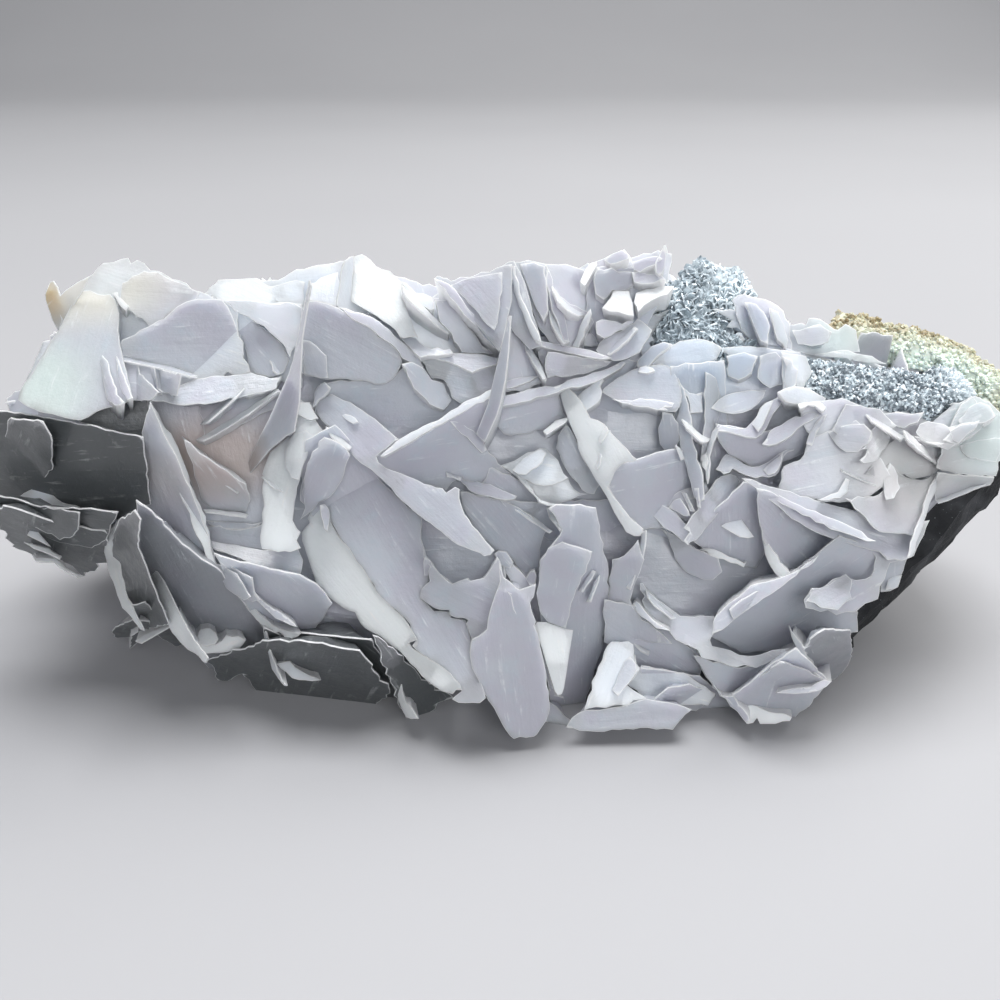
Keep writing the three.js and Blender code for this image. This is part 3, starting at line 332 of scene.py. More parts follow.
# Notched blade, the upright lance and the bars beside it.
BLADES["lance"] = {
    "notch_blade": (-1.7, -14, 28, 3, 0.15, 2,
        "437,276 440,276 443,278 447,278 451,281 455,280 460,277 470,277 481,272 490,272 496,268 "
        "512,264 512,300 504,335 499,352 478,326 456,306 444,290 434,279"),
    "notch_fold": (0.0, 34, 24, 1.5, 0.3, 2, "434,279 448,284 478,320 499,350 494,348"),
    "notch_sheet": (0.3, -23, 33, 1.5, 0.3, 2, "450,285 462,280 502,272 502,290 494,330 486,324 474,308"),
    "lance": (9, -50, 2, 1.7, 0, 2,
        "510,316 508,352 505,380 500,404 496,416 484,442 476,434 488,404 508,316"),
    "lens_column": (-1.6, -18, 20, 3, 0.3, 2,
        "508,262 514,261 522,276 542,346 530,350 506,322 502,340 499,330 502,266"),
    "column_ridge": (0.1, -49, 9, 1.4, 0.3, 3,
        "510,266 514,266 519,292 540,342 534,340 527,326 514,292 511,280"),
    "triangle_plate": (-2.6, 14, 16, 5, 0.3, 2, "508,322 536,356 546,378 528,390 502,392 504,350"),
    "triangle_edge": (-1.0, 60, 48, 1.3, 0.3, 3, "522,338 530,346 542,366 547,380 543,378 537,368 530,356"),
    "small_wedge": (-1.8, 0, 36, 1.4, 0, 2,
        "503,389 505,382 512,379 520,377 538,376 530,381 520,385 511,388"),
    "long_bar": (-1.5, 2, 30, 1.6, 0.3, 2,
        "498,407 500,397 536,388 562,384 574,378 586,376 600,371 622,361 626,363 616,371 604,378 "
        "592,383 564,389 552,394 514,404"),
    "bar_recess": (-4.6, 6, 6, 9, 0.3, 2,
        "536,342 570,350 618,356 640,362 628,380 604,400 580,400 560,392 546,388"),
    "bar_pane": (-1.2, 14, 8, 1.6, 0.3, 2, "612,361 600,368 584,374 548,378 545,366 548,352 596,360"),
    "upper_bar": (-1.8, 2, 38, 1.4, 0, 2, "530,339 590,350 612,358 602,359 588,357 546,348 536,345"),
}

# Deep recess between the lance and the broad band.
BLADES["recess"] = {
    "deep_fan": (-7.6, 7, -3, 9, 0.3, 2,
        "490,402 564,392 572,424 582,452 604,486 606,510 560,512 520,500 492,466 482,440"),
    "fan_upper": (-3.6, 9, 3, 1.8, 0.3, 2,
        "567,418 556,422 544,430 524,434 504,434 496,424 500,408 514,404 530,402 546,396 558,393"),
    "fan_needle": (-4.9, -70, 72, 1.3, 0, 4, "543,431 556,420 568,417 566,421 546,434"),
    "fan_side": (-1.6, -26, 16, 1.8, 0.3, 2,
        "566,424 572,432 582,456 592,470 600,484 594,494 582,490 572,478 562,462 556,448 558,436"),
    "fan_lower": (-2.6, 8, -8, 1.8, 0.3, 2,
        "500,500 548,504 556,512 564,526 566,540 548,540 530,522 512,512"),
    "centre_chip": (-1.8, -4, 40, 1.8, 0.3, 3,
        "499,466 514,461 522,456 540,448 546,449 558,460 561,468 568,478 552,485 544,486 534,484"),
    "chip_crest": (-1.1, -28, 52, 1.3, 0.3, 3,
        "546,453 542,462 526,474 518,474 512,470 524,458 534,452 541,449"),
    "chip_lower": (-2.3, 6, 20, 1.8, 0.3, 3,
        "508,470 534,483 544,485 552,484 568,477 570,484 574,489 580,493 588,494 578,496 568,501 "
        "560,503 548,503 542,501 534,491 528,486 522,479"),
    "chip_rim": (0.5, 73, 57, 1.3, 0.3, 4,
        "516,474 524,479 541,500 550,503 562,503 560,505 548,505 540,502"),
}

# Crowd of short plates on the crest, right of the middle.
BLADES["crest_right"] = {
    "top_lens": (-3.6, -12, 20, 3, 0.3, 2,
        "514,262 520,262 528,260 546,264 553,286 568,343 552,346 540,330 526,296"),
    "top_lens_fold": (-1.7, 30, 26, 1.5, 0.3, 2, "546,264 550,272 566,322 570,342 564,340 551,302 547,284"),
    "lens_sheet": (-1.6, -30, 20, 1.4, 0.3, 2, "520,264 534,262 544,266 548,310 544,322 536,308"),
    "top_plate_a": (-5.6, 6, 14, 4, 0.3, 2,
        "544,264 566,264 584,270 590,290 592,312 580,320 562,306 552,290"),
    "plate_a_edge": (-2.6, 77, 44, 1.3, 0.3, 3,
        "552,286 560,296 570,306 580,312 588,312 590,316 580,316 568,310 558,300"),
    "bright_shard": (-2.1, -8, 44, 1.5, 0.3, 4, "596,262 597,265 585,286 580,282 583,274 587,267 591,263"),
    "top_plate_b": (-3.6, 14, 18, 3, 0.3, 2, "552,290 570,304 588,312 594,322 582,345 566,348 556,318"),
    "plate_b_ridge": (-1.3, 70, 35, 1.3, 0.3, 3, "550,310 568,343 564,344 557,333 552,323"),
    "shard_lance": (-1.4, -44, 10, 1.4, 0.3, 3, "572,347 580,326 585,316 590,309 591,314 588,324 578,348"),
    "top_facet": (-5.6, -4, 30, 6, 0.3, 2, "590,264 624,249 630,256 634,268 618,272 600,270"),
    "facet_cap": (-2.6, -32, 34, 1.4, 0.3, 2, "604,260 612,254 622,250 628,254 629,259 610,264"),
    "top_facet_shade": (-5.6, 5, 5, 9, 0.3, 2, "588,268 634,266 668,290 650,320 640,350 600,350 586,320"),
    "shade_pane": (-2.6, 20, 2, 1.6, 0.3, 2,
        "632,272 634,286 626,290 612,290 604,300 596,294 594,280 598,268"),
    "bright_trapezoid": (-2.6, -2, 44, 1.6, 0.3, 4, "602,308 613,291 629,291 634,316"),
    "bright_wing": (-2.6, -6, 48, 1.6, 0.3, 4,
        "674,286 668,294 660,296 652,300 644,305 638,312 634,302 636,293 646,289 658,287"),
    "top_small_peaks": (-6.6, 6, 14, 8, 0.3, 2,
        "666,245 668,253 672,254 668,284 634,286 630,258 658,250 662,252 663,246"),
    "peak_fold_a": (-2.6, -30, 30, 1.4, 0.3, 2,
        "662,258 656,264 646,268 640,272 634,270 632,262 644,258 656,256"),
    "peak_fold_b": (-1.6, 34, 20, 1.4, 0.3, 2, "664,247 666,256 665,268 660,276 656,272 656,262"),
    "peak_box": (-2.6, -8, 36, 1.4, 0.3, 2, "632,272 640,272 662,276 666,280 654,283 642,284 634,282"),
    "grey_under_wing": (-6.6, 4, 12, 7, 0.3, 2, "650,306 640,330 600,345 584,346 586,308 604,306 636,316"),
    "under_wing_arc": (-2.6, 10, 20, 1.5, 0.3, 2,
        "634,320 628,330 616,332 604,338 597,334 596,322 608,320 622,324"),
    "fan_blade": (-2.6, -14, 34, 3, 0.3, 2,
        "596,350 600,342 606,337 614,333 622,331 638,318 652,330 640,352 622,360 606,358"),
    "fan_crease": (-3.1, -75, 45, 1.3, 0.3, 2, "604,352 624,336 634,326 637,328 628,339 618,348 608,355"),
}

# Scooped plates and pleats below the upper druse.
BLADES["scoop"] = {
    "druse_apron": (-8.6, 5, 33, 6, 0.3, 2,
        "636,320 668,310 744,310 748,350 720,352 704,372 690,378 664,370 644,366"),
    "apron_facet": (-3.6, 2, 16, 2.2, 0.3, 2,
        "650,364 662,352 680,341 694,339 706,340 722,348 716,360 700,372 690,377 672,372"),
    "apron_left": (-2.6, -30, 24, 1.5, 0.3, 2, "636,366 644,354 652,346 664,342 672,344 662,352 644,370"),
    "broad_scoop": (-1.7, -8, 26, 2.2, 0.3, 2,
        "602,392 604,388 612,382 632,370 640,367 660,364 668,366 672,370 680,386 682,396 680,406 "
        "676,412 668,412 640,406 630,405 610,397"),
    "scoop_lip": (-0.1, -2, 42, 1.4, 0.3, 2,
        "612,399 624,400 640,398 652,399 674,403 672,407 664,407 668,410 658,410 648,407 634,406 "
        "622,403"),
    "scoop_bump": (-1.8, -20, 46, 1.4, 0.3, 2, "638,372 640,367 646,366 653,368 655,371 648,373"),
    "scoop_tuft": (-2.3, -26, 32, 1.5, 0.3, 3,
        "585,411 596,404 600,400 602,392 600,386 604,380 599,378 578,396"),
    "scoop_recess": (-6.6, 0, -14, 9, 0.3, 2,
        "596,392 630,398 674,404 690,410 690,456 664,454 636,461 606,452 592,418"),
    "recess_pane": (-1.6, -20, -10, 1.6, 0.3, 2,
        "662,412 672,414 678,424 680,440 674,450 666,452 660,444 658,428"),
    "white_band": (3.4, -35, 21, 2.4, 0.15, 4,
        "563,389 568,388 574,393 580,400 590,418 604,424 612,434 637,460 632,462 626,462 620,465 "
        "615,470 608,487 616,500 630,518 643,529 642,533 638,536 632,535 626,532 600,486 581,455 "
        "578,448 577,440 568,420 561,398 560,391"),
    "band_toe": (-0.0, -30, 34, 1.6, 0.3, 2,
        "609,490 613,493 632,519 640,526 643,530 640,536 634,536 629,533 624,527 613,507"),
    "band_glint_a": (5.8, -70, 35, 1.2, 0.3, 4, "606,426 608,430 604,438 600,443 598,441"),
    "band_glint_b": (-4.4, -71, 42, 1.2, 0.3, 4, "610,430 610,434 603,443 602,441"),
    "band_glint_c": (4.4, -66, 22, 1.2, 0.3, 4, "599,452 601,456 600,464 597,470 595,468 598,460"),
    "band_hollow": (0.4, 22, 2, 6, 0.3, 2,
        "694,452 694,500 676,502 664,512 664,528 644,530 622,509 609,487 611,478 616,470 622,464 "
        "664,451 676,449"),
    "flag_blade": (-1.6, -6, 18, 1.6, 0.3, 2,
        "680,382 684,388 690,393 696,394 703,392 702,398 703,412 690,413 690,405 688,398 684,392"),
    "pleat_left": (-0.5, -40, 12, 1.8, 0.3, 2,
        "664,368 670,370 678,378 684,390 688,404 691,418 692,440 700,466 704,500 698,502 692,490 "
        "684,460 676,420 680,404 676,386"),
    "pleat_glint_a": (1.6, 75, 47, 1.3, 0.3, 4, "682,419 702,435 711,439 708,442 701,441 687,428"),
    "pleat_glint_b": (1.0, 69, 33, 1.3, 0.3, 4, "676,445 680,448 685,459 682,460"),
    "pleat_glint_c": (0.2, -40, 34, 1.3, 0.3, 4, "706,453 708,461 706,471 702,466 701,456"),
    "pleat_right": (-1.1, 34, 8, 1.8, 0.3, 2, "706,372 716,378 722,400 702,500 700,470 704,430"),
    "pleat_right_ridge": (-0.5, -66, 21, 1.3, 0.3, 3,
        "718,424 716,436 711,450 707,484 705,470 706,452 712,432"),
    "pleat_back": (-3.6, 1, 3, 8, 0.3, 2, "724,360 730,470 712,500 684,500 676,440 670,366"),
}

# Small bright facets between the druse and the right plates.
BLADES["facets"] = {
    "facet_a": (-2, 6, 34, 2.4, 0.3, 2,
        "711,408 718,400 724,396 732,393 744,391 766,390 758,404 750,410 742,413 734,414"),
    "facet_back_a": (-5.6, 2, 20, 8, 0.3, 2, "702,350 750,346 800,352 806,400 770,408 712,410"),
    "back_pane_a": (-2.6, -20, 20, 1.5, 0.3, 2, "758,356 752,372 738,380 728,376 726,356 744,352"),
    "back_pane_b": (-2.6, 16, 16, 1.5, 0.3, 2, "760,356 776,352 784,362 784,384 770,388 758,378"),
    "facet_b": (-0.6, 8, 40, 1.6, 0.3, 2,
        "718,431 719,427 722,425 728,427 746,428 752,422 760,408 765,403 780,396 783,401 773,414 "
        "762,434 756,438 746,437 736,434"),
    "facet_b_edge": (0.3, -34, 36, 1.4, 0.3, 3, "773,400 763,424 758,432 752,424 761,408 766,403"),
    "facet_c": (-0.2, -8, 38, 1.8, 0.3, 2,
        "762,444 767,438 769,432 774,428 788,420 796,416 800,417 808,412 814,412 819,415 804,424 "
        "792,435 784,440 776,444"),
    "facet_shadow": (-1.6, 5, -3, 7, 0.3, 2,
        "820,412 806,452 784,462 756,468 730,456 718,440 716,424 764,432"),
    "smile_band": (-1.6, 2, 42, 1.6, 0.3, 2,
        "716,469 719,465 722,458 726,454 730,455 744,464 752,467 760,466 768,462 784,451 796,447 "
        "794,450 788,452 784,456 779,472 776,475 756,478 746,475 733,468 730,472 724,474 721,471"),
    "smile_end": (-0.4, -30, 44, 1.4, 0.3, 2, "783,452 782,460 779,468 775,473 768,475 763,470"),
    "right_tuft": (-2.6, 14, 28, 3, 0.3, 3, "782,352 806,356 812,372 800,396 784,398"),
    "tuft_fold": (-1.5, -32, 16, 1.5, 0.3, 3, "782,356 792,360 798,370 796,384 788,392 784,380 786,366"),
    "tuft_lens": (0.0, 24, 24, 1.6, 0.3, 3,
        "778,392 786,388 794,386 806,388 826,398 822,410 800,404 786,402"),
    "tuft_edge": (2.2, 47, 83, 1.3, 0.3, 3,
        "798,404 808,399 818,400 826,407 823,411 816,405 808,404 800,408"),
    "shoulder_lip": (0.0, -20, 30, 1.4, 0.3, 2, "806,444 810,432 816,422 822,416 827,414 816,434 812,446"),
}

# Two crossed blades and the hollow that hangs below them.
BLADES["crossed_pair"] = {
    "cross_right": (0.6, 26, 24, 2.0, 0.3, 2,
        "688,545 684,541 690,532 684,528 698,510 700,503 706,494 712,487 716,480 722,476 730,474 "
        "736,476 740,481 736,496 726,502 700,536 696,540 690,542"),
    "cross_left": (0.1, -18, 28, 2.0, 0.3, 2,
        "648,505 660,504 676,513 690,526 690,532 694,538 688,543 678,537 672,532 664,528 652,514"),
    "cross_line_a": (-4.4, -71, 40, 1.3, 0.3, 4, "717,480 719,483 699,514 697,512 702,501"),
    "cross_ray_a": (2.6, -60, 6, 1.3, 0.3, 2, "694,488 698,488 700,508 697,507"),
    "cross_ray_b": (0.0, -50, 20, 1.3, 0.3, 2, "681,492 686,493 695,512 690,511"),
    "cross_ray_c": (-0.1, -40, 24, 1.3, 0.3, 2, "668,508 674,500 680,498 690,516 684,516 676,511"),
    "cross_rays": (-1.4, -10, 20, 1.6, 0.3, 2,
        "646,506 662,500 678,492 706,482 708,490 698,506 690,524 672,512"),
    "cross_shadow": (-1.6, 9, -7, 7, 0.3, 2,
        "692,540 716,508 744,482 770,492 772,540 756,568 742,566 712,554"),
    "cross_rim": (-2.0, 8, 46, 1.5, 0.3, 4,
        "700,549 706,548 714,549 744,563 747,561 744,567 724,559 712,556"),
    "cross_chip": (-0.9, -2, 44, 1.5, 0, 3,
        "721,526 726,523 730,522 736,512 738,512 742,520 754,537 748,538 740,537"),
    "great_hollow": (-7.6, -7, -19, 9, 0.3, 2,
        "640,530 664,526 700,546 744,566 782,578 724,620 690,620 660,606 644,584"),
    "hollow_veil": (-2.6, -24, -4, 1.6, 0.3, 2,
        "660,528 666,534 675,559 682,568 692,575 704,580 713,580 722,572 718,558 690,545 676,536"),
    "hollow_edge": (1.5, -74, 23, 1.3, 0.3, 3,
        "646,530 645,545 642,560 630,590 626,588 632,574 637,558 640,544 641,532"),
}

# Broad plates of the right side and the bowl under them.
BLADES["right_plates"] = {
    "right_lobe": (0.3, 11, -1, 6, 0.3, 2,
        "756,488 772,492 844,540 820,560 784,579 772,566 765,544 758,512"),
    "right_lobe_rim": (1.5, -44, 22, 1.5, 0.3, 4,
        "757,500 763,530 769,545 780,563 791,575 786,579 780,579 774,572 769,564 765,554 761,530 "
        "757,514"),
    "sweep_plate": (3.2, 8, 34, 2.4, 0.3, 2,
        "742,478 752,479 762,484 790,491 800,496 860,512 900,518 930,520 914,556 902,561 888,560 "
        "880,552 864,548 820,534 806,527 792,519 756,488"),
    "sweep_fold": (8.9, -22, 40, 1.6, 0.3, 2,
        "760,486 792,502 846,524 876,541 866,541 848,534 830,529 776,500"),
    "cool_plate": (1.0, -11, 23, 3, 0.3, 2,
        "778,492 784,466 800,460 808,442 814,436 822,434 856,420 894,480 862,502 824,502"),
    "cool_fold": (3.0, -28, 30, 1.5, 0.3, 2,
        "828,432 840,427 852,424 864,424 872,432 868,444 858,452 846,452 836,444"),
    "arc_blade": (2.4, 32, 34, 1.5, 0.3, 2,
        "892,428 890,438 886,448 880,456 872,462 864,463 860,460 866,455 868,449 858,450 866,446 "
        "870,440 872,430 877,425 885,424"),
    "arc_shard": (3.3, -36, 40, 1.4, 0.3, 3, "852,449 858,444 872,436 870,442 862,447"),
    "arc_ridge": (4.0, 10, 36, 1.4, 0.3, 3, "850,480 848,492 840,498 828,500 818,500 838,492 846,478"),
    "warm_plate": (2.7, 23, 29, 3, 0.3, 2,
        "846,498 852,500 858,496 868,496 880,494 884,490 882,480 890,463 894,466 900,474 908,478 "
        "920,480 939,473 936,486 918,536 880,532"),
    "warm_tent": (5.4, -22, 44, 1.5, 0.3, 2,
        "890,463 894,467 898,476 900,488 894,498 886,500 884,492 884,480"),
    "warm_edge": (2.9, 42, 20, 1.5, 0.3, 3, "939,473 937,486 912,556 908,558 914,536 931,486"),
    "cream_mid": (-0.0, 21, 27, 3, 0.3, 2,
        "866,474 880,450 905,434 926,440 952,456 946,464 938,470 928,476 914,479 904,474 898,480 "
        "890,484"),
    "tail_plate": (4.3, 9, 25, 3, 0.6, 2,
        "912,557 904,560 890,563 880,586 878,599 860,608 856,612 846,612 836,615 828,610 806,608 "
        "804,600 812,588 822,588 846,574 856,580 866,579 874,570 876,558 872,546 890,548"),
    "tail_rough": (7.8, -4, 48, 1.6, 0.6, 2,
        "806,601 811,588 820,588 830,584 838,578 846,575 852,580 850,592 846,602 838,610"),
    "tail_chip": (-1.6, -8, 38, 1.4, 0.3, 3, "902,575 899,584 896,588 886,590 888,580 894,576"),
    "tail_facet": (-0.5, 12, -8, 2.6, 0.3, 2,
        "904,546 907,559 898,587 890,591 881,592 874,560 888,564 884,548"),
    "grey_recess": (-0.6, 2, -8, 9, 0.3, 2,
        "884,552 876,580 812,592 806,606 858,612 858,632 828,634 780,650 742,654 712,638 724,616 "
        "815,556 840,536"),
    "band_upper": (6.0, -12, 30, 1.8, 0.3, 2,
        "712,634 713,622 720,612 728,604 744,592 750,586 758,583 780,578 792,573 819,555 814,562 "
        "796,576 750,608 722,630"),
    "band_upper_face": (4.4, 20, 10, 1.4, 0.3, 2,
        "784,580 776,590 760,600 734,620 730,610 742,600 756,592"),
    "bowl_band": (0.4, -3, 37, 2.0, 0.15, 2,
        "640,583 643,583 646,588 658,600 680,616 714,616 716,624 714,632 710,640 712,646 730,650 "
        "740,655 750,656 762,654 772,650 790,648 778,658 756,668 744,665 738,667 730,666 720,662 "
        "702,658 698,650 676,640 668,630 650,622 646,616 642,600 645,596 640,590"),
    "bowl_arm": (1.7, -24, 42, 1.5, 0.3, 2,
        "632,604 636,601 640,604 644,610 656,622 671,631 662,629 652,624 636,611"),
    "bowl_crease": (-0.2, 73, 52, 1.3, 0.3, 2, "646,590 660,605 676,618 672,619 654,605 648,597"),
    "bowl_floor": (-1.6, 3, 1, 8, 0.3, 2, "604,600 636,606 674,634 704,662 700,676 640,668 604,642"),
    "bowl_side": (0.4, -16, -2, 1.8, 0.3, 2,
        "638,540 644,560 630,600 642,620 660,632 672,644 632,640 612,640 608,600 612,560 624,556"),
}

# Forked blade at the middle of the foot and its neighbours.
BLADES["forked_blade"] = {
    "forked_wing": (7, -17, 19, 2.2, 0.15, 2,
        "424,549 426,556 430,560 440,574 446,580 452,584 468,578 470,581 484,578 490,570 497,557 "
        "500,562 502,572 501,580 490,612 487,632 472,640 466,624 468,620 464,618 456,618 450,615 "
        "449,610 440,610 434,608 420,598 421,590 424,586 430,581 428,572 430,566 426,562 423,557"),
    "wing_upper": (-2.3, -40, 34, 1.4, 0.3, 2,
        "495,558 499,562 498,574 494,586 488,596 484,590 480,580 486,574"),
    "forked_blade": (9, 8, 2, 2.4, 0.15, 2,
        "499,560 504,578 510,582 516,588 520,590 536,584 534,596 530,602 532,612 536,622 534,626 "
        "538,634 545,668 550,704 549,714 546,722 537,735 534,737 526,738 520,737 514,739 510,736 "
        "502,724 494,708 488,700 472,668 470,656 471,644 472,640 480,636 487,630 488,620 491,608 "
        "500,582"),
    "forked_side": (8.5, 36, 6, 1.5, 0.3, 2,
        "508,592 520,596 528,604 536,628 540,646 548,688 550,704 544,700 532,656 524,632 514,610"),
    "blade_ridge": (-1.3, -66, 22, 1.3, 0.3, 3,
        "498,560 503,566 505,576 502,590 497,604 490,632 487,630 489,616 492,602 500,576"),
    "forked_knot": (-1.7, -22, 26, 1.4, 0.3, 2, "494,554 498,551 506,552 513,563 510,568 504,567 498,562"),
    "curl_blade": (-2.2, 10, 20, 1.6, 0.3, 2,
        "506,555 514,566 526,578 530,572 534,570 536,575 536,582 532,586 524,590 518,590 512,584 "
        "504,570"),
    "curl_tip": (-1.5, -38, 24, 1.3, 0.3, 2, "534,570 536,576 535,583 530,586 526,579 530,572"),
    "grey_keel_blade": (1, 14, -6, 4, 0.3, 2,
        "556,504 580,504 596,508 603,550 608,564 609,600 608,614 604,632 602,648 596,662 588,690 "
        "572,728 556,724 545,640 538,600 540,560 556,540 562,530 556,518 548,508"),
    "keel_left_pane": (5.3, -17, 1, 1.5, 0.3, 2,
        "562,542 592,552 586,572 576,590 570,610 566,628 548,622 540,612 537,596 540,560 548,548"),
    "keel_scratch_a": (10.5, -79, 39, 1.2, 0.3, 2, "578,591 592,570 595,571 582,592"),
    "keel_scratch_b": (8.2, -76, 29, 1.2, 0.3, 2, "586,602 594,583 599,575 598,581 590,602"),
    "bright_triangle": (6, -9, 29, 1.6, 0, 4,
        "537,622 546,622 566,629 573,630 564,688 562,694 558,695 555,692 535,626"),
    "textured_facet": (4, -1, 37, 2.4, 0.6, 3,
        "628,641 634,651 634,658 640,668 636,676 627,685 647,698 606,708 596,707 584,710 592,690 "
        "604,652 607,646 611,642"),
    "texture_fold": (6.7, -28, 52, 1.4, 0.3, 2, "630,656 636,664 634,676 618,696 612,690 624,662"),
    "pale_facet": (0, 8, 8, 5, 0.3, 3, "627,684 642,666 684,673 716,694 708,706 656,702 646,698"),
    "foot_strip": (5, 1, 13, 3, 0.3, 2,
        "566,728 572,718 586,710 600,710 630,704 646,699 670,703 682,706 692,710 680,721 673,730 "
        "640,728 620,730 580,731"),
    "foot_toe": (-2.3, -14, 26, 2, 0.3, 2,
        "533,707 544,700 556,706 570,720 572,730 562,730 548,723 536,713"),
    "foot_shadow_plate": (-3, 6, -16, 8, 0.3, 2,
        "640,668 700,676 728,700 740,716 730,721 706,717 690,720 672,712 640,700"),
    "foot_fold_pane": (0, 24, -16, 1.6, 0.3, 2, "652,702 668,688 690,684 716,696 696,711 680,706"),
    "foot_line": (-5.4, 73, 61, 1.3, 0.3, 4, "634,643 650,651 649,655 641,651"),
    "central_hollow": (-5.6, 5, -1, 9, 0.3, 2,
        "490,466 560,500 612,500 646,530 644,600 612,644 560,560 520,600 506,552 470,516"),
    "slope_pane": (-2.6, -10, -6, 1.8, 0.3, 2,
        "460,492 500,500 512,505 524,512 546,530 540,548 538,572 530,574 522,580 514,560 506,553 "
        "498,552 474,526 463,508"),
    "slope_line_a": (-5.1, 79, 60, 1.2, 0.3, 4, "511,502 530,514 553,531 550,533 526,517 516,510"),
    "slope_line_b": (-3.3, 80, 41, 1.2, 0.3, 4, "547,507 561,523 567,535 563,534 550,517"),
    "slope_line_c": (-5.6, 82, 47, 1.2, 0.3, 4, "576,529 582,534 596,549 593,551 579,537"),
    "keel_shadow": (-2, 20, -20, 2, 0.3, 2, "538,640 556,696 564,698 566,706 562,714 550,700 548,684"),
}

# Folded blades of the lower right.
BLADES["foot_right"] = {
    "foot_right_face": (0, 2, 4, 6, 0.3, 2, "694,656 740,668 776,660 740,690 720,697"),
    "foot_right_strip": (0.9, -40, 14, 1.8, 0.3, 2,
        "689,646 696,650 710,680 716,688 722,695 734,696 744,710 750,722 747,724 726,699 720,696 "
        "717,690 705,676 696,657"),
    "diag_rim": (0.3, -73, 57, 1.4, 0.3, 4,
        "732,693 756,675 780,659 790,651 798,641 803,640 798,649 790,657 740,693"),
    "foot_right_fold": (1.2, 3, -27, 5, 0.3, 2,
        "732,694 746,686 768,668 796,648 828,680 818,695 812,702 790,722 768,723 754,722 744,708"),
    "fold_shade": (2.4, -1, -33, 1.8, 0.3, 2,
        "738,693 780,662 790,664 800,668 822,679 806,690 776,693 762,696 750,700"),
    "foot_right_rim": (1.2, -10, 30, 1.6, 0.3, 4,
        "738,697 746,700 756,706 776,713 792,717 790,721 768,724 760,724 757,718 753,723 748,724 "
        "744,716"),
    "fold_spike": (8.2, -2, 30, 1.4, 0, 2,
        "776,693 784,690 794,688 812,686 818,682 824,680 832,681 826,687 818,691 808,693 794,694"),
    "fold_ridge": (7.5, -48, 14, 1.4, 0, 3,
        "789,625 792,632 801,643 809,662 814,671 824,679 808,670 802,660 792,638"),
    "fold_ridge_two": (0.5, 40, 14, 1.4, 0, 3, "776,662 793,649 798,648 806,668 788,662"),
    "dark_facet": (0.4, 27, -29, 5, 0.3, 1,
        "851,631 852,656 848,666 842,674 835,680 828,678 818,673 812,668 806,656 802,644 806,648 "
        "810,640 818,634 826,630"),
    "under_step": (-5, 6, -40, 5, 0.6, 2,
        "738,716 746,722 752,718 756,722 770,722 772,724 766,731 760,733 756,731 748,733 743,727"),
}

# Pale plates of the right end.
BLADES["right_end"] = {
    "mint_plate": (-0.8, 27, 25, 4, 0.3, 2,
        "938,468 946,440 952,424 962,404 975,396 990,402 1000,412 1030,425 1036,445 1004,458 998,462 "
        "996,476 970,475 955,473"),
    "mint_fold": (3.6, -22, 34, 1.5, 0.3, 2,
        "958,420 968,408 980,402 990,406 996,416 986,422 974,424 964,428"),
    "mint_notch": (5.7, -18, 18, 1.4, 0.3, 2, "980,420 976,428 959,443 953,440 950,431 960,425"),
    "mint_line": (7.3, -66, 76, 1.3, 0.3, 4, "946,428 982,418 990,420 980,424 968,426 948,433"),
    "mint_low_fold": (-0.2, 28, 24, 1.5, 0.3, 2,
        "960,446 978,440 1000,438 1018,440 1002,450 996,462 980,460 966,456"),
    "shadow_quad": (-0.6, 16, -22, 3, 0.3, 2,
        "994,477 990,485 976,487 956,493 944,499 936,501 934,490 938,473 970,476"),
    "quad_rim": (-9.0, -70, 71, 1.3, 0.3, 4, "936,500 946,497 958,491 970,487 986,485 948,500 938,503"),
    "cream_fan_a": (2.0, -8, 32, 2.0, 0.3, 2, "916,432 920,424 928,421 950,428 956,444 948,450 922,440"),
    "cream_fan_b": (3.0, 26, 30, 1.6, 0.3, 2, "944,440 960,424 986,420 980,430 958,444"),
    "cream_line": (7.8, 1, 85, 1.3, 0.3, 4, "914,436 938,440 950,439 962,436 952,442 940,444 926,442"),
    "cream_beam": (1.6, 69, 40, 1.3, 0.3, 2, "904,430 912,436 934,456 946,464 942,466 918,449 908,439"),
    "cream_back": (-2.6, 10, 26, 6, 0.3, 2,
        "868,400 900,412 946,406 972,396 984,420 950,452 930,476 900,470 872,446"),
    "beam_needle": (6.4, 70, 71, 1.3, 0, 4, "839,466 870,479 883,482 880,486 866,482 842,471"),
}

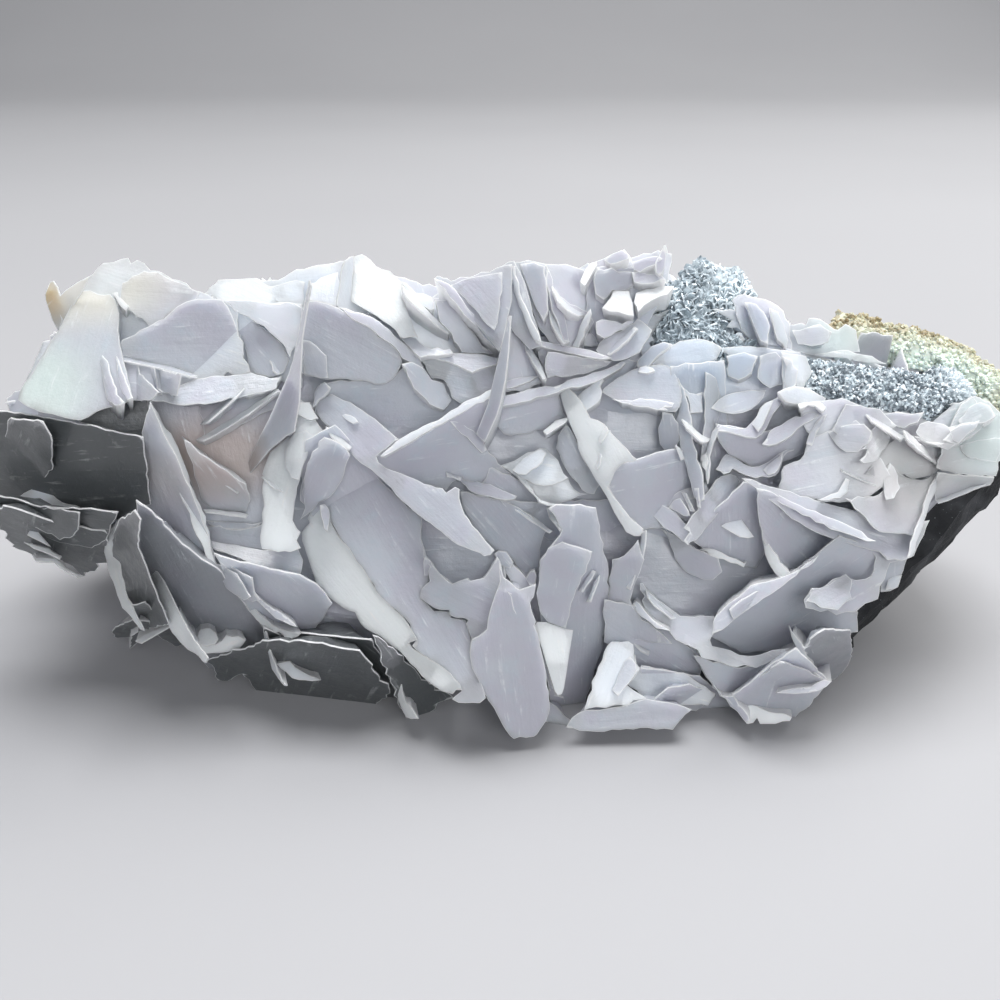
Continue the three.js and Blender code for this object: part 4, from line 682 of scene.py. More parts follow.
# Thin veils of the top right.
BLADES["top_right"] = {
    "veil_right_a": (-9.6, 2, 18, 4, 0.3, 2,
        "732,300 738,295 744,294 757,298 764,299 778,306 790,324 792,350 760,352 742,330"),
    "veil_a_fold": (-6.6, -26, 28, 1.4, 0.3, 2, "744,302 756,304 764,312 770,326 768,344 760,340"),
    "veil_a_edge": (-6.6, 24, 18, 1.4, 0.3, 3, "770,308 778,312 784,324 788,340 786,350 778,340"),
    "veil_right_b": (-11.6, 6, 18, 4, 0.3, 2,
        "786,324 801,323 806,325 809,318 820,319 834,329 838,330 846,324 856,330 860,352 820,356 "
        "788,350"),
    "veil_b_fold": (-7.6, -18, 34, 1.4, 0.3, 2, "792,330 806,328 820,324 832,332 828,342 812,346 798,344"),
    "veil_arc": (-7.6, 5, 29, 3, 0.3, 2, "800,366 816,354 840,350 872,356 900,372 880,384 830,372"),
    "mint_band": (-10.6, 15, 41, 9, 0.3, 2,
        "840,330 846,326 872,330 902,346 938,372 906,368 880,356 850,350"),
    "cool_top_left": (-0.7, -10, 24, 3, 0.3, 2,
        "800,400 822,401 842,398 862,406 852,420 832,430 815,442 804,426"),
    "cool_top_right": (0.4, 10, 20, 3, 0.3, 2, "897,426 880,432 866,430 846,444 832,430 846,404 880,409"),
    "top_right_beam": (1.6, 73, 60, 1.3, 0.3, 2, "866,414 876,418 906,438 902,440 872,421"),
    "top_right_fan": (-0.9, -28, 20, 1.4, 0.3, 2,
        "880,414 896,412 912,414 924,412 918,422 904,428 892,424"),
}


# A blade thinner than THIN_LIMIT narrows behind its face to a root that reaches into the mass. The
# root starts straight behind the face and bends towards the middle of the specimen's height.
THIN_LIMIT = 3.5
ROOT_DEPTH = 13
ROOT_PULL = 0.9
HEIGHT = 74

# How a blade is made up: points along its edge, a narrow rim that is painted white as a highlight,
# and points over its face. The face is a little bent and wavy. Its thickness grows from the rim inwards,
# and the root starts further in.
EDGE_STEP = 1.2
RIM_WIDTH = 0.22
RIM_THICKNESS = 0.22
FACE_STEP = 2.6
FACE_BEND = 0.02
FACE_WAVE = 0.16
WAVE_LENGTH = 9
BACK_SLOPE_THIN = 0.12
BACK_SLOPE_THICK = 0.9
BACK_ROUGHNESS = 0.4
ROOT_START = 0.22
ROOT_END = 0.85
ROOT_BEND = 2

# Blades of the back, the top and the underside: broad ones laid over the mass like tiles, and small
# ones that fill the places between them.
SCATTER_STRIDE = 0.618034
# For each kind: how many, how far round the mass they go, their least reach and how much it varies,
# their thickness, how ragged they are, how they slant, and the seed of their draws.
LAID_BLADES = (
    (48, (math.radians(-8), math.radians(142)), 12, 7, 2.2, 0.5, (0.5, 1.6), 977),
    (195, (math.radians(-20), math.radians(146)), 4.5, 5, 1.3, 0.4, (0.9, 2.6), 311),
)
LAID_MILK = (1.2, 3)
SHAPE_SEED = 20
SHARP_ANGLE = math.radians(24)

# The mass that the blades stand out of. Its underside is level in the middle and rises towards both
# ends, like a boat's, and it stays lower than the skyline of the crest.
MASS_HALF_LENGTH = 84.2
MASS_SETBACK = 3
MASS_BACK = 31.2
MASS_TOP = 67.3
MASS_FOOT = -2
MASS_SHOULDER = 55
MASS_ROUND = 0.02
MASS_SQUARENESS = 0.48
MASS_ROUGHNESS = 2.4
MASS_CELLS = (6, 3, 3)
MASS_DIVISIONS = (20, 10, 5, 3)
MASS_GRAIN = 9
MASS_GRAIN_DEPTH = 1.4
MASS_BELOW_SKYLINE = 6
MASS_MILK = 1.7
KEEL_LEFT = (34, 0.66)
KEEL_RIGHT = (52, 1.05)
SKYLINE = np.array([
    (-60, 450), (0, 400), (20, 394), (60, 302), (100, 268), (130, 264), (200, 294), (230, 282),
    (300, 273), (355, 259), (430, 300), (445, 284), (500, 269), (600, 262), (690, 252), (750, 300),
    (800, 326), (860, 326), (950, 350), (1000, 380), (1040, 430)])
SEAT_GAP = 0.35


def unit(vector):
    return vector / np.linalg.norm(vector)


def seeded(seed):
    """Draws evenly spread numbers from 0 to 1, the same ones each run."""
    state = seed
    while True:
        state = state * 48271 % 2147483647
        yield state / 2147483647


def sight_lines(places):
    offset = (places - GRID_MIDDLE) / SIGHT_UNITS
    return np.outer(offset[:, 0], SIDEWAYS) - np.outer(offset[:, 1], SIGHT_UP) + SIGHT_AHEAD


def above_skyline(points):
    """How far each point stands above the skyline of the crest."""
    offset = points - SIGHT_POINT
    ahead = offset @ SIGHT_AHEAD
    across = GRID_MIDDLE + SIGHT_UNITS * offset[:, 0] / ahead
    down = GRID_MIDDLE - SIGHT_UNITS * (offset @ SIGHT_UP) / ahead
    return (np.interp(across, SKYLINE[:, 0], SKYLINE[:, 1]) - down) * ahead / SIGHT_UNITS


def wall_depth(x, z):
    return -WALL_FOOT + WALL_LEAN * z + WALL_BOW * np.maximum(0, np.abs(x) - WALL_STRAIGHT) ** 2


def wall_point(place):
    """Where the sight line through a place of the grid meets the front wall, found by halving."""
    line = sight_lines(place[None, :])[0]
    near, far = 0.0, 400.0
    while far - near > 1e-6:
        middle = (near + far) / 2
        point = SIGHT_POINT + line * middle
        if point[1] < wall_depth(point[0], point[2]):
            near = middle
        else:
            far = middle
    return SIGHT_POINT + line * near


def edge_distance(points, outline):
    """Distance of each point from the nearest side of a closed outline."""
    start = outline[None, :, :]
    side = (np.roll(outline, -1, axis=0) - outline)[None, :, :]
    offset = points[:, None, :] - start
    share = (offset * side).sum(2) / np.maximum(1e-12, (side ** 2).sum(2))
    nearest = start + side * np.clip(share, 0, 1)[:, :, None]
    return np.sqrt(((points[:, None, :] - nearest) ** 2).sum(2)).min(1)


def is_inside(points, outline):
    ends = np.roll(outline, -1, axis=0)
    inside = np.zeros(len(points), bool)
    for (ax, ay), (bx, by) in zip(outline, ends):
        crosses = (ay > points[:, 1]) != (by > points[:, 1])
        with np.errstate(divide="ignore", invalid="ignore"):
            at = ax + (points[:, 1] - ay) * (bx - ax) / (by - ay)
        inside ^= crosses & (points[:, 0] < at)
    return inside


def signed_area(outline):
    ends = np.roll(outline, -1, axis=0)
    return 0.5 * (outline[:, 0] * ends[:, 1] - outline[:, 1] * ends[:, 0]).sum()


def ragged_edge(outline, ragged, rng):
    """The outline with points every EDGE_STEP, moved in and out by uneven chips and nicks."""
    points = []
    for start, end in zip(outline, np.roll(outline, -1, axis=0)):
        side = end - start
        length = np.linalg.norm(side)
        steps = max(1, round(length / EDGE_STEP))
        outward = np.array([side[1], -side[0]]) / max(length, 1e-9)
        for k in range(steps):
            stray = 0 if k == 0 else rng.uniform(-1, 1) * rng.choice((0.35, 0.6, 1.0))
            points.append(start + side * (k / steps) + outward * stray * ragged)
    return np.array(points)


def face_points(edge):
    """Points just inside the edge, which bound the rim painted white as a highlight, and a loose grid over
    the face.
    """
    ahead = np.roll(edge, -1, axis=0) - np.roll(edge, 1, axis=0)
    inward = np.column_stack([-ahead[:, 1], ahead[:, 0]])
    inward /= np.maximum(1e-9, np.linalg.norm(inward, axis=1))[:, None]
    rim = edge + inward * RIM_WIDTH
    keep = is_inside(rim, edge) & (edge_distance(rim, edge) > 0.75 * RIM_WIDTH)
    low, high = edge.min(0), edge.max(0)
    across = np.arange(low[0], high[0], FACE_STEP)
    up = np.arange(low[1], high[1], FACE_STEP * 0.87)
    grid = np.array([(x + (FACE_STEP / 2) * (j % 2), y) for j, y in enumerate(up) for x in across])
    if len(grid):
        clear = is_inside(grid, edge) & (edge_distance(grid, edge) > RIM_WIDTH + 0.35 * FACE_STEP)
        grid = grid[clear]
    return np.vstack([rim[keep], grid.reshape(-1, 2)])


def is_closed(triangles):
    """Whether each side of each triangle is met by exactly one other, run the other way."""
    sides = {}
    for a, b, c in triangles:
        for side in ((a, b), (b, c), (c, a)):
            sides[side] = sides.get(side, 0) + 1
    return all(count == 1 and sides.get((b, a)) == 1 for (a, b), count in sides.items())


def plate(outline, origin, axes, thickness, ragged, root, rng):
    """A closed blade. Its outline lies in the plane of the first two axes and it faces along the third.
    Returns its corners, its triangles, how much of the rim painted white as a highlight there is at each
    corner, and each corner's place along and across the blade, which its growth lines follow."""
    if signed_area(outline) < 0:
        outline = outline[::-1]
    edge = ragged_edge(outline, ragged, rng)
    loose = face_points(edge)
    coords = [Vector(p) for p in np.vstack([edge, loose])]
    found, _, faces = geometry.delaunay_2d_cdt(coords, [], [list(range(len(edge)))], 1, 1e-4, False)[:3]
    plan = np.array([tuple(p) for p in found])
    middles = np.array([plan[list(face)].mean(0) for face in faces])
    faces = [tuple(face) for face, inside in zip(faces, is_inside(middles, edge)) if inside]
    faces = [f if signed_area(plan[list(f)]) > 0 else f[::-1] for f in faces]
    depth = edge_distance(plan, edge)
    size = math.sqrt(abs(signed_area(outline)))
    seed = rng.uniform(0, 100)
    bend = rng.uniform(-1, 1) * FACE_BEND / size
    bend_axis = rng.uniform(0, math.pi)
    along = plan @ np.array([math.cos(bend_axis), math.sin(bend_axis)])
    wave = np.array([noise.noise(Vector((x / WAVE_LENGTH, y / WAVE_LENGTH, seed))) for x, y in plan])
    rough = np.array([noise.noise(Vector((x / 2.5, y / 2.5, seed + 50))) for x, y in plan])
    relief = bend * along ** 2 + FACE_WAVE * wave * min(1, size / 20)
    front = origin + plan @ axes[:2] + relief[:, None] * axes[2]
    if root is None:
        fullness = np.minimum(thickness, RIM_THICKNESS + BACK_SLOPE_THICK * depth)
        back = front - fullness[:, None] * axes[2]
    else:
        fullness = np.minimum(thickness, RIM_THICKNESS + BACK_SLOPE_THIN * depth)
        share = np.clip((depth / depth.max() - ROOT_START) / (ROOT_END - ROOT_START), 0, 1)
        uneven = fullness + BACK_ROUGHNESS * rough * np.minimum(1, depth / 4)
        back = front - np.maximum(RIM_THICKNESS, uneven)[:, None] * axes[2]
        back += share[:, None] * root[0] + (share ** ROOT_BEND)[:, None] * root[1]
    count = len(plan)
    triangles = [(a, b, c) for a, b, c in faces]
    sides = {(a, b) for f in faces for a, b in zip(f, f[1:] + f[:1])}
    triangles += [(c + count, b + count, a + count) for a, b, c in faces]
    for a, b in sides:
        if (b, a) not in sides:
            triangles += [(b, a, a + count), (b, a + count, b + count)]
    rim = np.clip(1 - depth / RIM_WIDTH, 0, 1)
    spread = plan - plan.mean(0)
    lengthways = np.linalg.svd(spread, full_matrices=False)[2]
    grain = np.column_stack([spread @ lengthways.T, np.full(count, seed)])
    return np.vstack([front, back]), triangles, np.tile(rim, 2), np.tile(grain, (2, 1))


def front_blade(lift, turn, lean, thickness, ragged, outline, rng):
    """A blade whose outline is cast along the sight lines onto the plane that it lies in."""
    corners = np.array([pair.split(",") for pair in outline.split()], float)
    middle = corners.mean(0)
    turned, leant = math.radians(turn), math.radians(lean)
    facing = np.array([
        math.sin(turned) * math.cos(leant), -math.cos(turned) * math.cos(leant), math.sin(leant)])
    seat = wall_point(middle) - np.array([0, lift, 0])
    lines = sight_lines(np.vstack([corners, middle]))
    reach = facing @ (seat - SIGHT_POINT) / (lines @ facing)
    cast = SIGHT_POINT + lines * reach[:, None]
    centre = cast[-1]
    level = unit(np.cross(UPWARDS, facing))
    axes = np.array([level, np.cross(facing, level), facing])
    plan = (cast[:-1] - centre) @ axes[:2].T
    root = None
    if thickness < THIN_LIMIT:
        depth = max(0, lift) + ROOT_DEPTH
        pull = ROOT_PULL * (0.5 - centre[2] / HEIGHT)
        root = (depth * unit(centre - SIGHT_POINT), depth * pull * UPWARDS)
    for roughness in (ragged, ragged / 3, 0):
        shape = plate(plan, centre, axes, thickness, roughness, root, rng)
        if is_closed(shape[1]):
            return shape
    raise ValueError("a blade's outline crosses itself")


def squared(part):
    return np.sign(part) * np.abs(part) ** MASS_SQUARENESS


def mass_points(directions):
    """Points of the mass's surface in given directions from its middle."""
    x = MASS_HALF_LENGTH * squared(directions[:, 0])
    past = np.maximum(0, np.abs(x) - MASS_SHOULDER)
    top = MASS_TOP - MASS_ROUND * past ** 2
    keel = MASS_FOOT + np.maximum(0, -x - KEEL_LEFT[0]) * KEEL_LEFT[1]
    keel = keel + np.maximum(0, x - KEEL_RIGHT[0]) * KEEL_RIGHT[1]
    z = keel + (top - keel) * (squared(directions[:, 2]) + 1) / 2
    front = wall_depth(x, z) + MASS_SETBACK
    back = MASS_BACK - MASS_ROUND * past ** 2
    y = front + (back - front) * (squared(directions[:, 1]) + 1) / 2
    return np.column_stack([x, y, z])


def block_lattice(cells):
    """Corners and triangles of a unit block whose sides are divided into cells along X, Y and Z."""
    places, triangles = {}, []
    for flat in range(3):
        u, v = (flat + 1) % 3, (flat + 2) % 3
        for high in (0, 1):
            for i in range(cells[u]):
                for j in range(cells[v]):
                    corners = []
                    for du, dv in ((0, 0), (1, 0), (1, 1), (0, 1)):
                        key = [0, 0, 0]
                        key[flat], key[u], key[v] = high * cells[flat], i + du, j + dv
                        corners.append(places.setdefault(tuple(key), len(places)))
                    a, b, c, d = corners if high else corners[::-1]
                    triangles += [(a, b, c), (a, c, d)]
    points = np.array([[key[k] / cells[k] - 0.5 for k in range(3)] for key in places])
    return points, triangles


def mass():
    """The solid mass behind the blades: a coarse block with uneven corners and a rough surface."""
    corners, triangles = block_lattice(MASS_CELLS)
    directions = corners / np.linalg.norm(corners, axis=1)[:, None]
    draw = seeded(4021)
    sunk = np.array([MASS_ROUGHNESS * next(draw) for _ in corners])
    points = mass_points(directions) - directions * sunk[:, None]
    points[:, 2] -= np.maximum(0, above_skyline(points) + MASS_BELOW_SKYLINE)
    block = bmesh.new()
    made = [block.verts.new(point) for point in points]
    for triangle in triangles:
        block.faces.new([made[k] for k in triangle])
    for longest in MASS_DIVISIONS:
        long_sides = [side for side in block.edges if side.calc_length() > longest]
        bmesh.ops.subdivide_edges(block, edges=long_sides, cuts=1)
        bmesh.ops.triangulate(block, faces=block.faces[:])
    block.normal_update()
    for vertex in block.verts:
        place = vertex.co.copy()
        rough = 0.5 + 0.5 * noise.fractal(place / MASS_GRAIN, 0.8, 2, 3)
        vertex.co = place - vertex.normal * MASS_GRAIN_DEPTH * min(1, max(0, rough))
    block.verts.index_update()
    points = np.array([tuple(vertex.co) for vertex in block.verts])
    triangles = [tuple(vertex.index for vertex in face.verts) for face in block.faces]
    block.free()
    return points, triangles, np.zeros(len(points)), points[:, [0, 2, 1]]


def laid_blade(ground, share, turn_share, sweep, reach, thickness, ragged, slant, draw, rng):
    """A blade laid on the mass like a tile, with one edge sunk in it and the other standing out."""
    along = math.copysign(abs(share) ** (1 / MASS_SQUARENESS), share)
    around = sweep[0] + (sweep[1] - sweep[0]) * turn_share
    ring = math.sqrt(1 - along * along)
    outward = np.array([along, ring * math.sin(around), ring * math.cos(around)])
    spin = next(draw) * math.pi * 2
    sideways = unit(np.cross([math.cos(spin), math.sin(spin), math.sin(spin * 3)], outward))
    facing = unit(outward + sideways * (slant[0] + (slant[1] - slant[0]) * next(draw)))
    long_axis = unit(sideways - facing * (sideways @ facing))
    axes = np.array([long_axis, np.cross(facing, long_axis), facing])
    corners = []
    for k in range(5):
        angle = (k + 0.6 * next(draw)) / 5 * math.pi * 2
        arm = reach * (0.75 + 0.4 * next(draw))
        corners.append((arm * math.cos(angle), arm * 0.85 * math.sin(angle)))
    above = Vector(mass_points(outward[None, :])[0] + 20 * outward)
    seat = np.array(ground.ray_cast(above, Vector(-outward))[0]) + facing * thickness / 2
    outline = np.array(corners)
    flat = seat + outline @ axes[:2]
    seat = seat - UPWARDS * max(0, above_skyline(flat).max())
    for roughness in (ragged, 0):
        shape = plate(outline, seat, axes, thickness, roughness, None, rng)
        if is_closed(shape[1]):
            return shape
    raise ValueError("a laid blade's outline crosses itself")


def all_blades(ground):
    """The front blades and the laid ones, and how milky each is; for the front blades that value also
    paints shade and highlight into the colour.
    """
    rng = random.Random(SHAPE_SEED)
    drawn = [blade for group in BLADES.values() for blade in group.values()]
    shapes = [front_blade(*blade[:5], blade[6], rng) for blade in drawn]
    milk = [blade[5] for blade in drawn]
    for count, sweep, least, spread, thickness, ragged, slant, seed in LAID_BLADES:
        draw = seeded(seed)
        for k in range(count):
            reach = least + spread * next(draw)
            share = 2 * (k + 0.5) / count - 1
            shapes.append(laid_blade(
                ground, share, k * SCATTER_STRIDE % 1, sweep, reach, thickness, ragged, slant, draw,
                rng))
    milk += [rng.uniform(*LAID_MILK) for _ in shapes[len(drawn):]]
    return shapes, milk


def new_mesh_object(name, points, triangles):
    """A mesh object from points in millimetres."""
    mesh = bpy.data.meshes.new(name)
    mesh.from_pydata((np.asarray(points) * MM).tolist(), [], triangles)
    mesh.update()
    made = bpy.data.objects.new(name, mesh)
    bpy.context.scene.collection.objects.link(made)
    return made


def boolean_result(base, pieces, operation):
    """Joins the pieces to the base, or cuts them out of it, in one go."""
    tree = bpy.data.node_groups.new(operation.title(), "GeometryNodeTree")
    tree.interface.new_socket("Base", in_out="INPUT", socket_type="NodeSocketGeometry")
    chosen = tree.interface.new_socket("Pieces", in_out="INPUT", socket_type="NodeSocketCollection")
    tree.interface.new_socket("Result", in_out="OUTPUT", socket_type="NodeSocketGeometry")
    start = tree.nodes.new("NodeGroupInput")
    gathered = tree.nodes.new("GeometryNodeCollectionInfo")
    gathered.inputs["Separate Children"].default_value = True
    boolean = tree.nodes.new("GeometryNodeMeshBoolean")
    boolean.operation = operation
    boolean.solver = "MANIFOLD"
    end = tree.nodes.new("NodeGroupOutput")
    base_socket = boolean.inputs[0 if operation == "DIFFERENCE" else 1]
    tree.links.new(start.outputs["Pieces"], gathered.inputs["Collection"])
    tree.links.new(start.outputs["Base"], base_socket)
    tree.links.new(gathered.outputs["Instances"], boolean.inputs[1])
    tree.links.new(boolean.outputs["Mesh"], end.inputs["Result"])
    group = bpy.data.collections.new(operation.title())
    for piece in pieces:
        bpy.context.scene.collection.objects.unlink(piece)
        group.objects.link(piece)
    modifier = base.modifiers.new(operation.title(), "NODES")
    modifier.node_group = tree
    modifier[chosen.identifier] = group
    bpy.context.view_layer.update()
    made = bpy.data.meshes.new_from_object(
        base.evaluated_get(bpy.context.evaluated_depsgraph_get()))
    base.modifiers.remove(modifier)
    base.data = made
    for piece in pieces:
        bpy.data.objects.remove(piece)
    bpy.data.collections.remove(group)
    bpy.data.node_groups.remove(tree)


def seat_cutter(node, gap):
    """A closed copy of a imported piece, grown all round by the gap that its seat leaves."""
    shape = bmesh.new()
    shape.from_mesh(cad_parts[node].data)
    bmesh.ops.remove_doubles(shape, verts=shape.verts[:], dist=1e-6)
    shape.normal_update()
    moved = []
    for vertex in shape.verts:
        facings = [face.normal for face in vertex.link_faces]
        outward = sum(facings, Vector()).normalized()
        least = max(0.35, min(outward.dot(facing) for facing in facings))
        moved.append(vertex.co + outward * (gap * MM / least))
    points = [tuple(place / MM) for place in moved]
    triangles = [tuple(v.index for v in face.verts) for face in shape.faces]
    shape.free()
    return new_mesh_object("seat_" + node, points, triangles)


def without_crumbs(mesh):
    """Keeps only the largest connected part of a mesh."""
    shape = bmesh.new()
    shape.from_mesh(mesh)
    shape.verts.ensure_lookup_table()
    seen, parts = set(), []
    for vertex in shape.verts:
        if vertex.index in seen:
            continue
        part, waiting = [], [vertex]
        seen.add(vertex.index)
        while waiting:
            current = waiting.pop()
            part.append(current)
            for side in current.link_edges:
                other = side.other_vert(current)
                if other.index not in seen:
                    seen.add(other.index)
                    waiting.append(other)
        parts.append(part)
    parts.sort(key=len)
    for part in parts[:-1]:
        bmesh.ops.delete(shape, geom=part, context="VERTS")
    bmesh.ops.triangulate(shape, faces=shape.faces[:])
    shape.to_mesh(mesh)
    shape.free()


def carry_over(mesh, shapes, milk):
    """Marks each corner of the joined mesh with the rim that is painted white as a highlight and the grain,
    and each face with how milky it is, with the shade and highlight painted into that, from the blade that
    it came from."""
    points = np.vstack([shape[0] for shape in shapes]) * MM
    marks = np.vstack([np.column_stack([shape[2], shape[3] * MM]) for shape in shapes])
    starts = np.cumsum([0] + [len(shape[0]) for shape in shapes])
    triangles = np.vstack([np.array(shape[1]) + start for shape, start in zip(shapes, starts)])
    owner = np.repeat(np.arange(len(shapes)), [len(shape[1]) for shape in shapes])
    tree = bvhtree.BVHTree.FromPolygons(points.tolist(), triangles.tolist(), all_triangles=True)
    count = len(mesh.polygons)
    centres = np.zeros(count * 3)
    mesh.polygons.foreach_get("center", centres)
    source = np.array([tree.find_nearest(place)[2] for place in centres.reshape(-1, 3)])
    corners = np.zeros(count * 3, np.int32)
    mesh.loops.foreach_get("vertex_index", corners)
    places = np.zeros(len(mesh.vertices) * 3)
    mesh.vertices.foreach_get("co", places)
    corner_places = places.reshape(-1, 3)[corners].reshape(count, 3, 3)
    first, second, third = (points[triangles[source, k]] for k in range(3))
    across, up = second - first, third - first
    offset = corner_places - first[:, None, :]
    aa, ab, bb = (across ** 2).sum(1), (across * up).sum(1), (up ** 2).sum(1)
    oa = (offset * across[:, None, :]).sum(2)
    ob = (offset * up[:, None, :]).sum(2)
    area = np.maximum(1e-18, aa * bb - ab ** 2)[:, None]
    v = (oa * bb[:, None] - ob * ab[:, None]) / area
    w = (ob * aa[:, None] - oa * ab[:, None]) / area
    v, w = np.clip(v, 0, 1)[:, :, None], np.clip(w, 0, 1)[:, :, None]
    at_first, at_second, at_third = (marks[triangles[source, k]][:, None, :] for k in range(3))
    carried = at_first * np.clip(1 - v - w, 0, 1) + at_second * v + at_third * w
    carried = carried.reshape(-1, 4).astype(np.float32)
    mesh.attributes.new("rim", "FLOAT", "CORNER").data.foreach_set(
        "value", np.clip(carried[:, 0], 0, 1))
    mesh.attributes.new("grain", "FLOAT_VECTOR", "CORNER").data.foreach_set(
        "vector", carried[:, 1:].ravel())
    mesh.attributes.new("milk", "FLOAT", "FACE").data.foreach_set(
        "value", np.array(milk, np.float32)[owner[source]])


# The blades and the mass are joined, then cut level at the foot and clear of the rock, the druse and
# the rind, which sit in the calcite.
bulk = mass()
blades, blade_milk_and_painted_light = all_blades(bvhtree.BVHTree.FromPolygons(bulk[0].tolist(), bulk[1]))
shapes = [bulk] + blades
calcite = new_mesh_object("calcite_blades", *shapes[0][:2])
boolean_result(calcite, [new_mesh_object("blade", *shape[:2]) for shape in shapes[1:]], "UNION")
floor_block = [(x, y, z) for x in (-200, 200) for y in (-200, 200) for z in (-60, 0)]
block_sides = [(0, 1, 3, 2), (4, 6, 7, 5), (0, 4, 5, 1), (2, 3, 7, 6), (0, 2, 6, 4), (1, 5, 7, 3)]
seats = ("dark_matrix", "druse_crest", "druse_shoulder", "ochre_rind")
boolean_result(
    calcite,
    [new_mesh_object("below", floor_block, block_sides)] + [seat_cutter(n, SEAT_GAP) for n in seats],
    "DIFFERENCE")
without_crumbs(calcite.data)
carry_over(calcite.data, shapes, [MASS_MILK] + blade_milk_and_painted_light)
calcite.data.shade_smooth()
calcite.data.set_sharp_from_angle(angle=SHARP_ANGLE)


class Value:
    """A number that changes over a surface. Sums, products and the like of it add Math nodes."""

    def __init__(self, paint, socket):
        self.paint = paint
        self.socket = socket

    def _math(self, operation, *numbers):
        links = dict(enumerate(numbers))
        return self.paint.value("ShaderNodeMath", {"operation": operation}, links)

    def __add__(self, other):
        return self._math("ADD", self, other)

    __radd__ = __add__

    def __sub__(self, other):
        return self._math("SUBTRACT", self, other)

    def __rsub__(self, other):
        return self._math("SUBTRACT", other, self)

    def __mul__(self, other):
        return self._math("MULTIPLY", self, other)

    __rmul__ = __mul__


class Paint:
    """A material while its nodes are being laid out."""

    def __init__(self, name):
        self.material = bpy.data.materials.new(name)
        self.material.use_nodes = True
        self.tree = self.material.node_tree
        self.tree.nodes.clear()
        self.place = self.node("ShaderNodeTexCoord").outputs["Object"]

    def node(self, kind, settings=None, links=None):
        made = self.tree.nodes.new(kind)
        for name, setting in (settings or {}).items():
            if name == "stops":
                ramp = made.color_ramp.elements
                while len(ramp) < len(setting):
                    ramp.new(0.5)
                for stop, (position, colour) in zip(ramp, setting):
                    stop.position = position
                    stop.color = (*colour, 1)
            else:
                setattr(made, name, setting)
        for name, link in (links or {}).items():
            link = link.socket if isinstance(link, Value) else link
            if isinstance(link, bpy.types.NodeSocket):
                self.tree.links.new(link, made.inputs[name])
            else:
                made.inputs[name].default_value = link
        return made

    def value(self, kind, settings=None, links=None, output=0):
        return Value(self, self.node(kind, settings, links).outputs[output])

    def noise(self, size, detail=3, roughness=0.55, place=None):
        """Soft noise whose spots are about the given size in metres."""
        links = {"Vector": place or self.place, "Scale": 1 / size, "Detail": detail,
                 "Roughness": roughness}
        return self.value("ShaderNodeTexNoise", links=links)

    def ramp(self, number, low, high):
        """0 below low, 1 above high, and a smooth rise between."""
        links = {"Value": number, "From Min": low, "From Max": high}
        return self.value("ShaderNodeMapRange", {"interpolation_type": "SMOOTHSTEP"}, links)

    def near(self, centre, reach):
        """1 around a point, in millimetres, fading to 0 at its reach on each axis."""
        middle = Vector(centre) * MM
        links = {0: self.place, 1: middle}
        offset = self.node("ShaderNodeVectorMath", {"operation": "SUBTRACT"}, links).outputs[0]
        links = {0: offset, 1: tuple(1 / (side * MM) for side in reach)}
        scaled = self.node("ShaderNodeVectorMath", {"operation": "MULTIPLY"}, links).outputs[0]
        far = self.value("ShaderNodeVectorMath", {"operation": "LENGTH"}, {0: scaled}, "Value")
        return 1 - self.ramp(far, 0.25, 1)

    def mix(self, amount, first, second):
        """Colour that goes from the first to the second as the amount goes from 0 to 1."""
        settings = {"data_type": "RGBA"}
        links = {"Factor": amount, 6: self.colour(first), 7: self.colour(second)}
        return self.node("ShaderNodeMix", settings, links).outputs[2]

    def colour(self, colour):
        return (*colour, 1) if isinstance(colour, tuple) and len(colour) == 3 else colour

    def bump(self, height, depth, strength=1.0, below=None):
        links = {"Height": height, "Distance": depth, "Strength": strength}
        if below is not None:
            links["Normal"] = below
        return self.node("ShaderNodeBump", links=links).outputs["Normal"]

    def finish(self, links):
        shader = self.node("ShaderNodeBsdfPrincipled", {"subsurface_method": "RANDOM_WALK"}, links)
        self.node("ShaderNodeOutputMaterial", links={"Surface": shader.outputs["BSDF"]})
        return self.material


CALCITE_PALE = (0.61, 0.635, 0.685)
CALCITE_LAVENDER = (0.59, 0.59, 0.655)
CALCITE_AQUA = (0.54, 0.625, 0.68)
# Smoky and milky calcite, used also to paint shade and highlight into the blades' colour.
CALCITE_SMOKY_AND_PAINTED_SHADE = (0.11, 0.12, 0.125)
CALCITE_MILKY_AND_PAINTED_HIGHLIGHT = (0.88, 0.935, 0.98)
# White of the veins and scratches, also painted along the rims as a highlight.
FROST_AND_RIM_HIGHLIGHT_WHITE = (0.96, 0.975, 0.985)
MINT = (0.74, 0.84, 0.79)
CREAM = (0.88, 0.84, 0.70)
HONEY = (0.68, 0.50, 0.22)
WARM_BROWN = (0.56, 0.42, 0.33)
ICE_BLUE = (0.62, 0.71, 0.80)
CALCITE_BENDING = 1.58
CALCITE_CLEARNESS = 0.35
CALCITE_GLOW_DEPTH = 0.0018


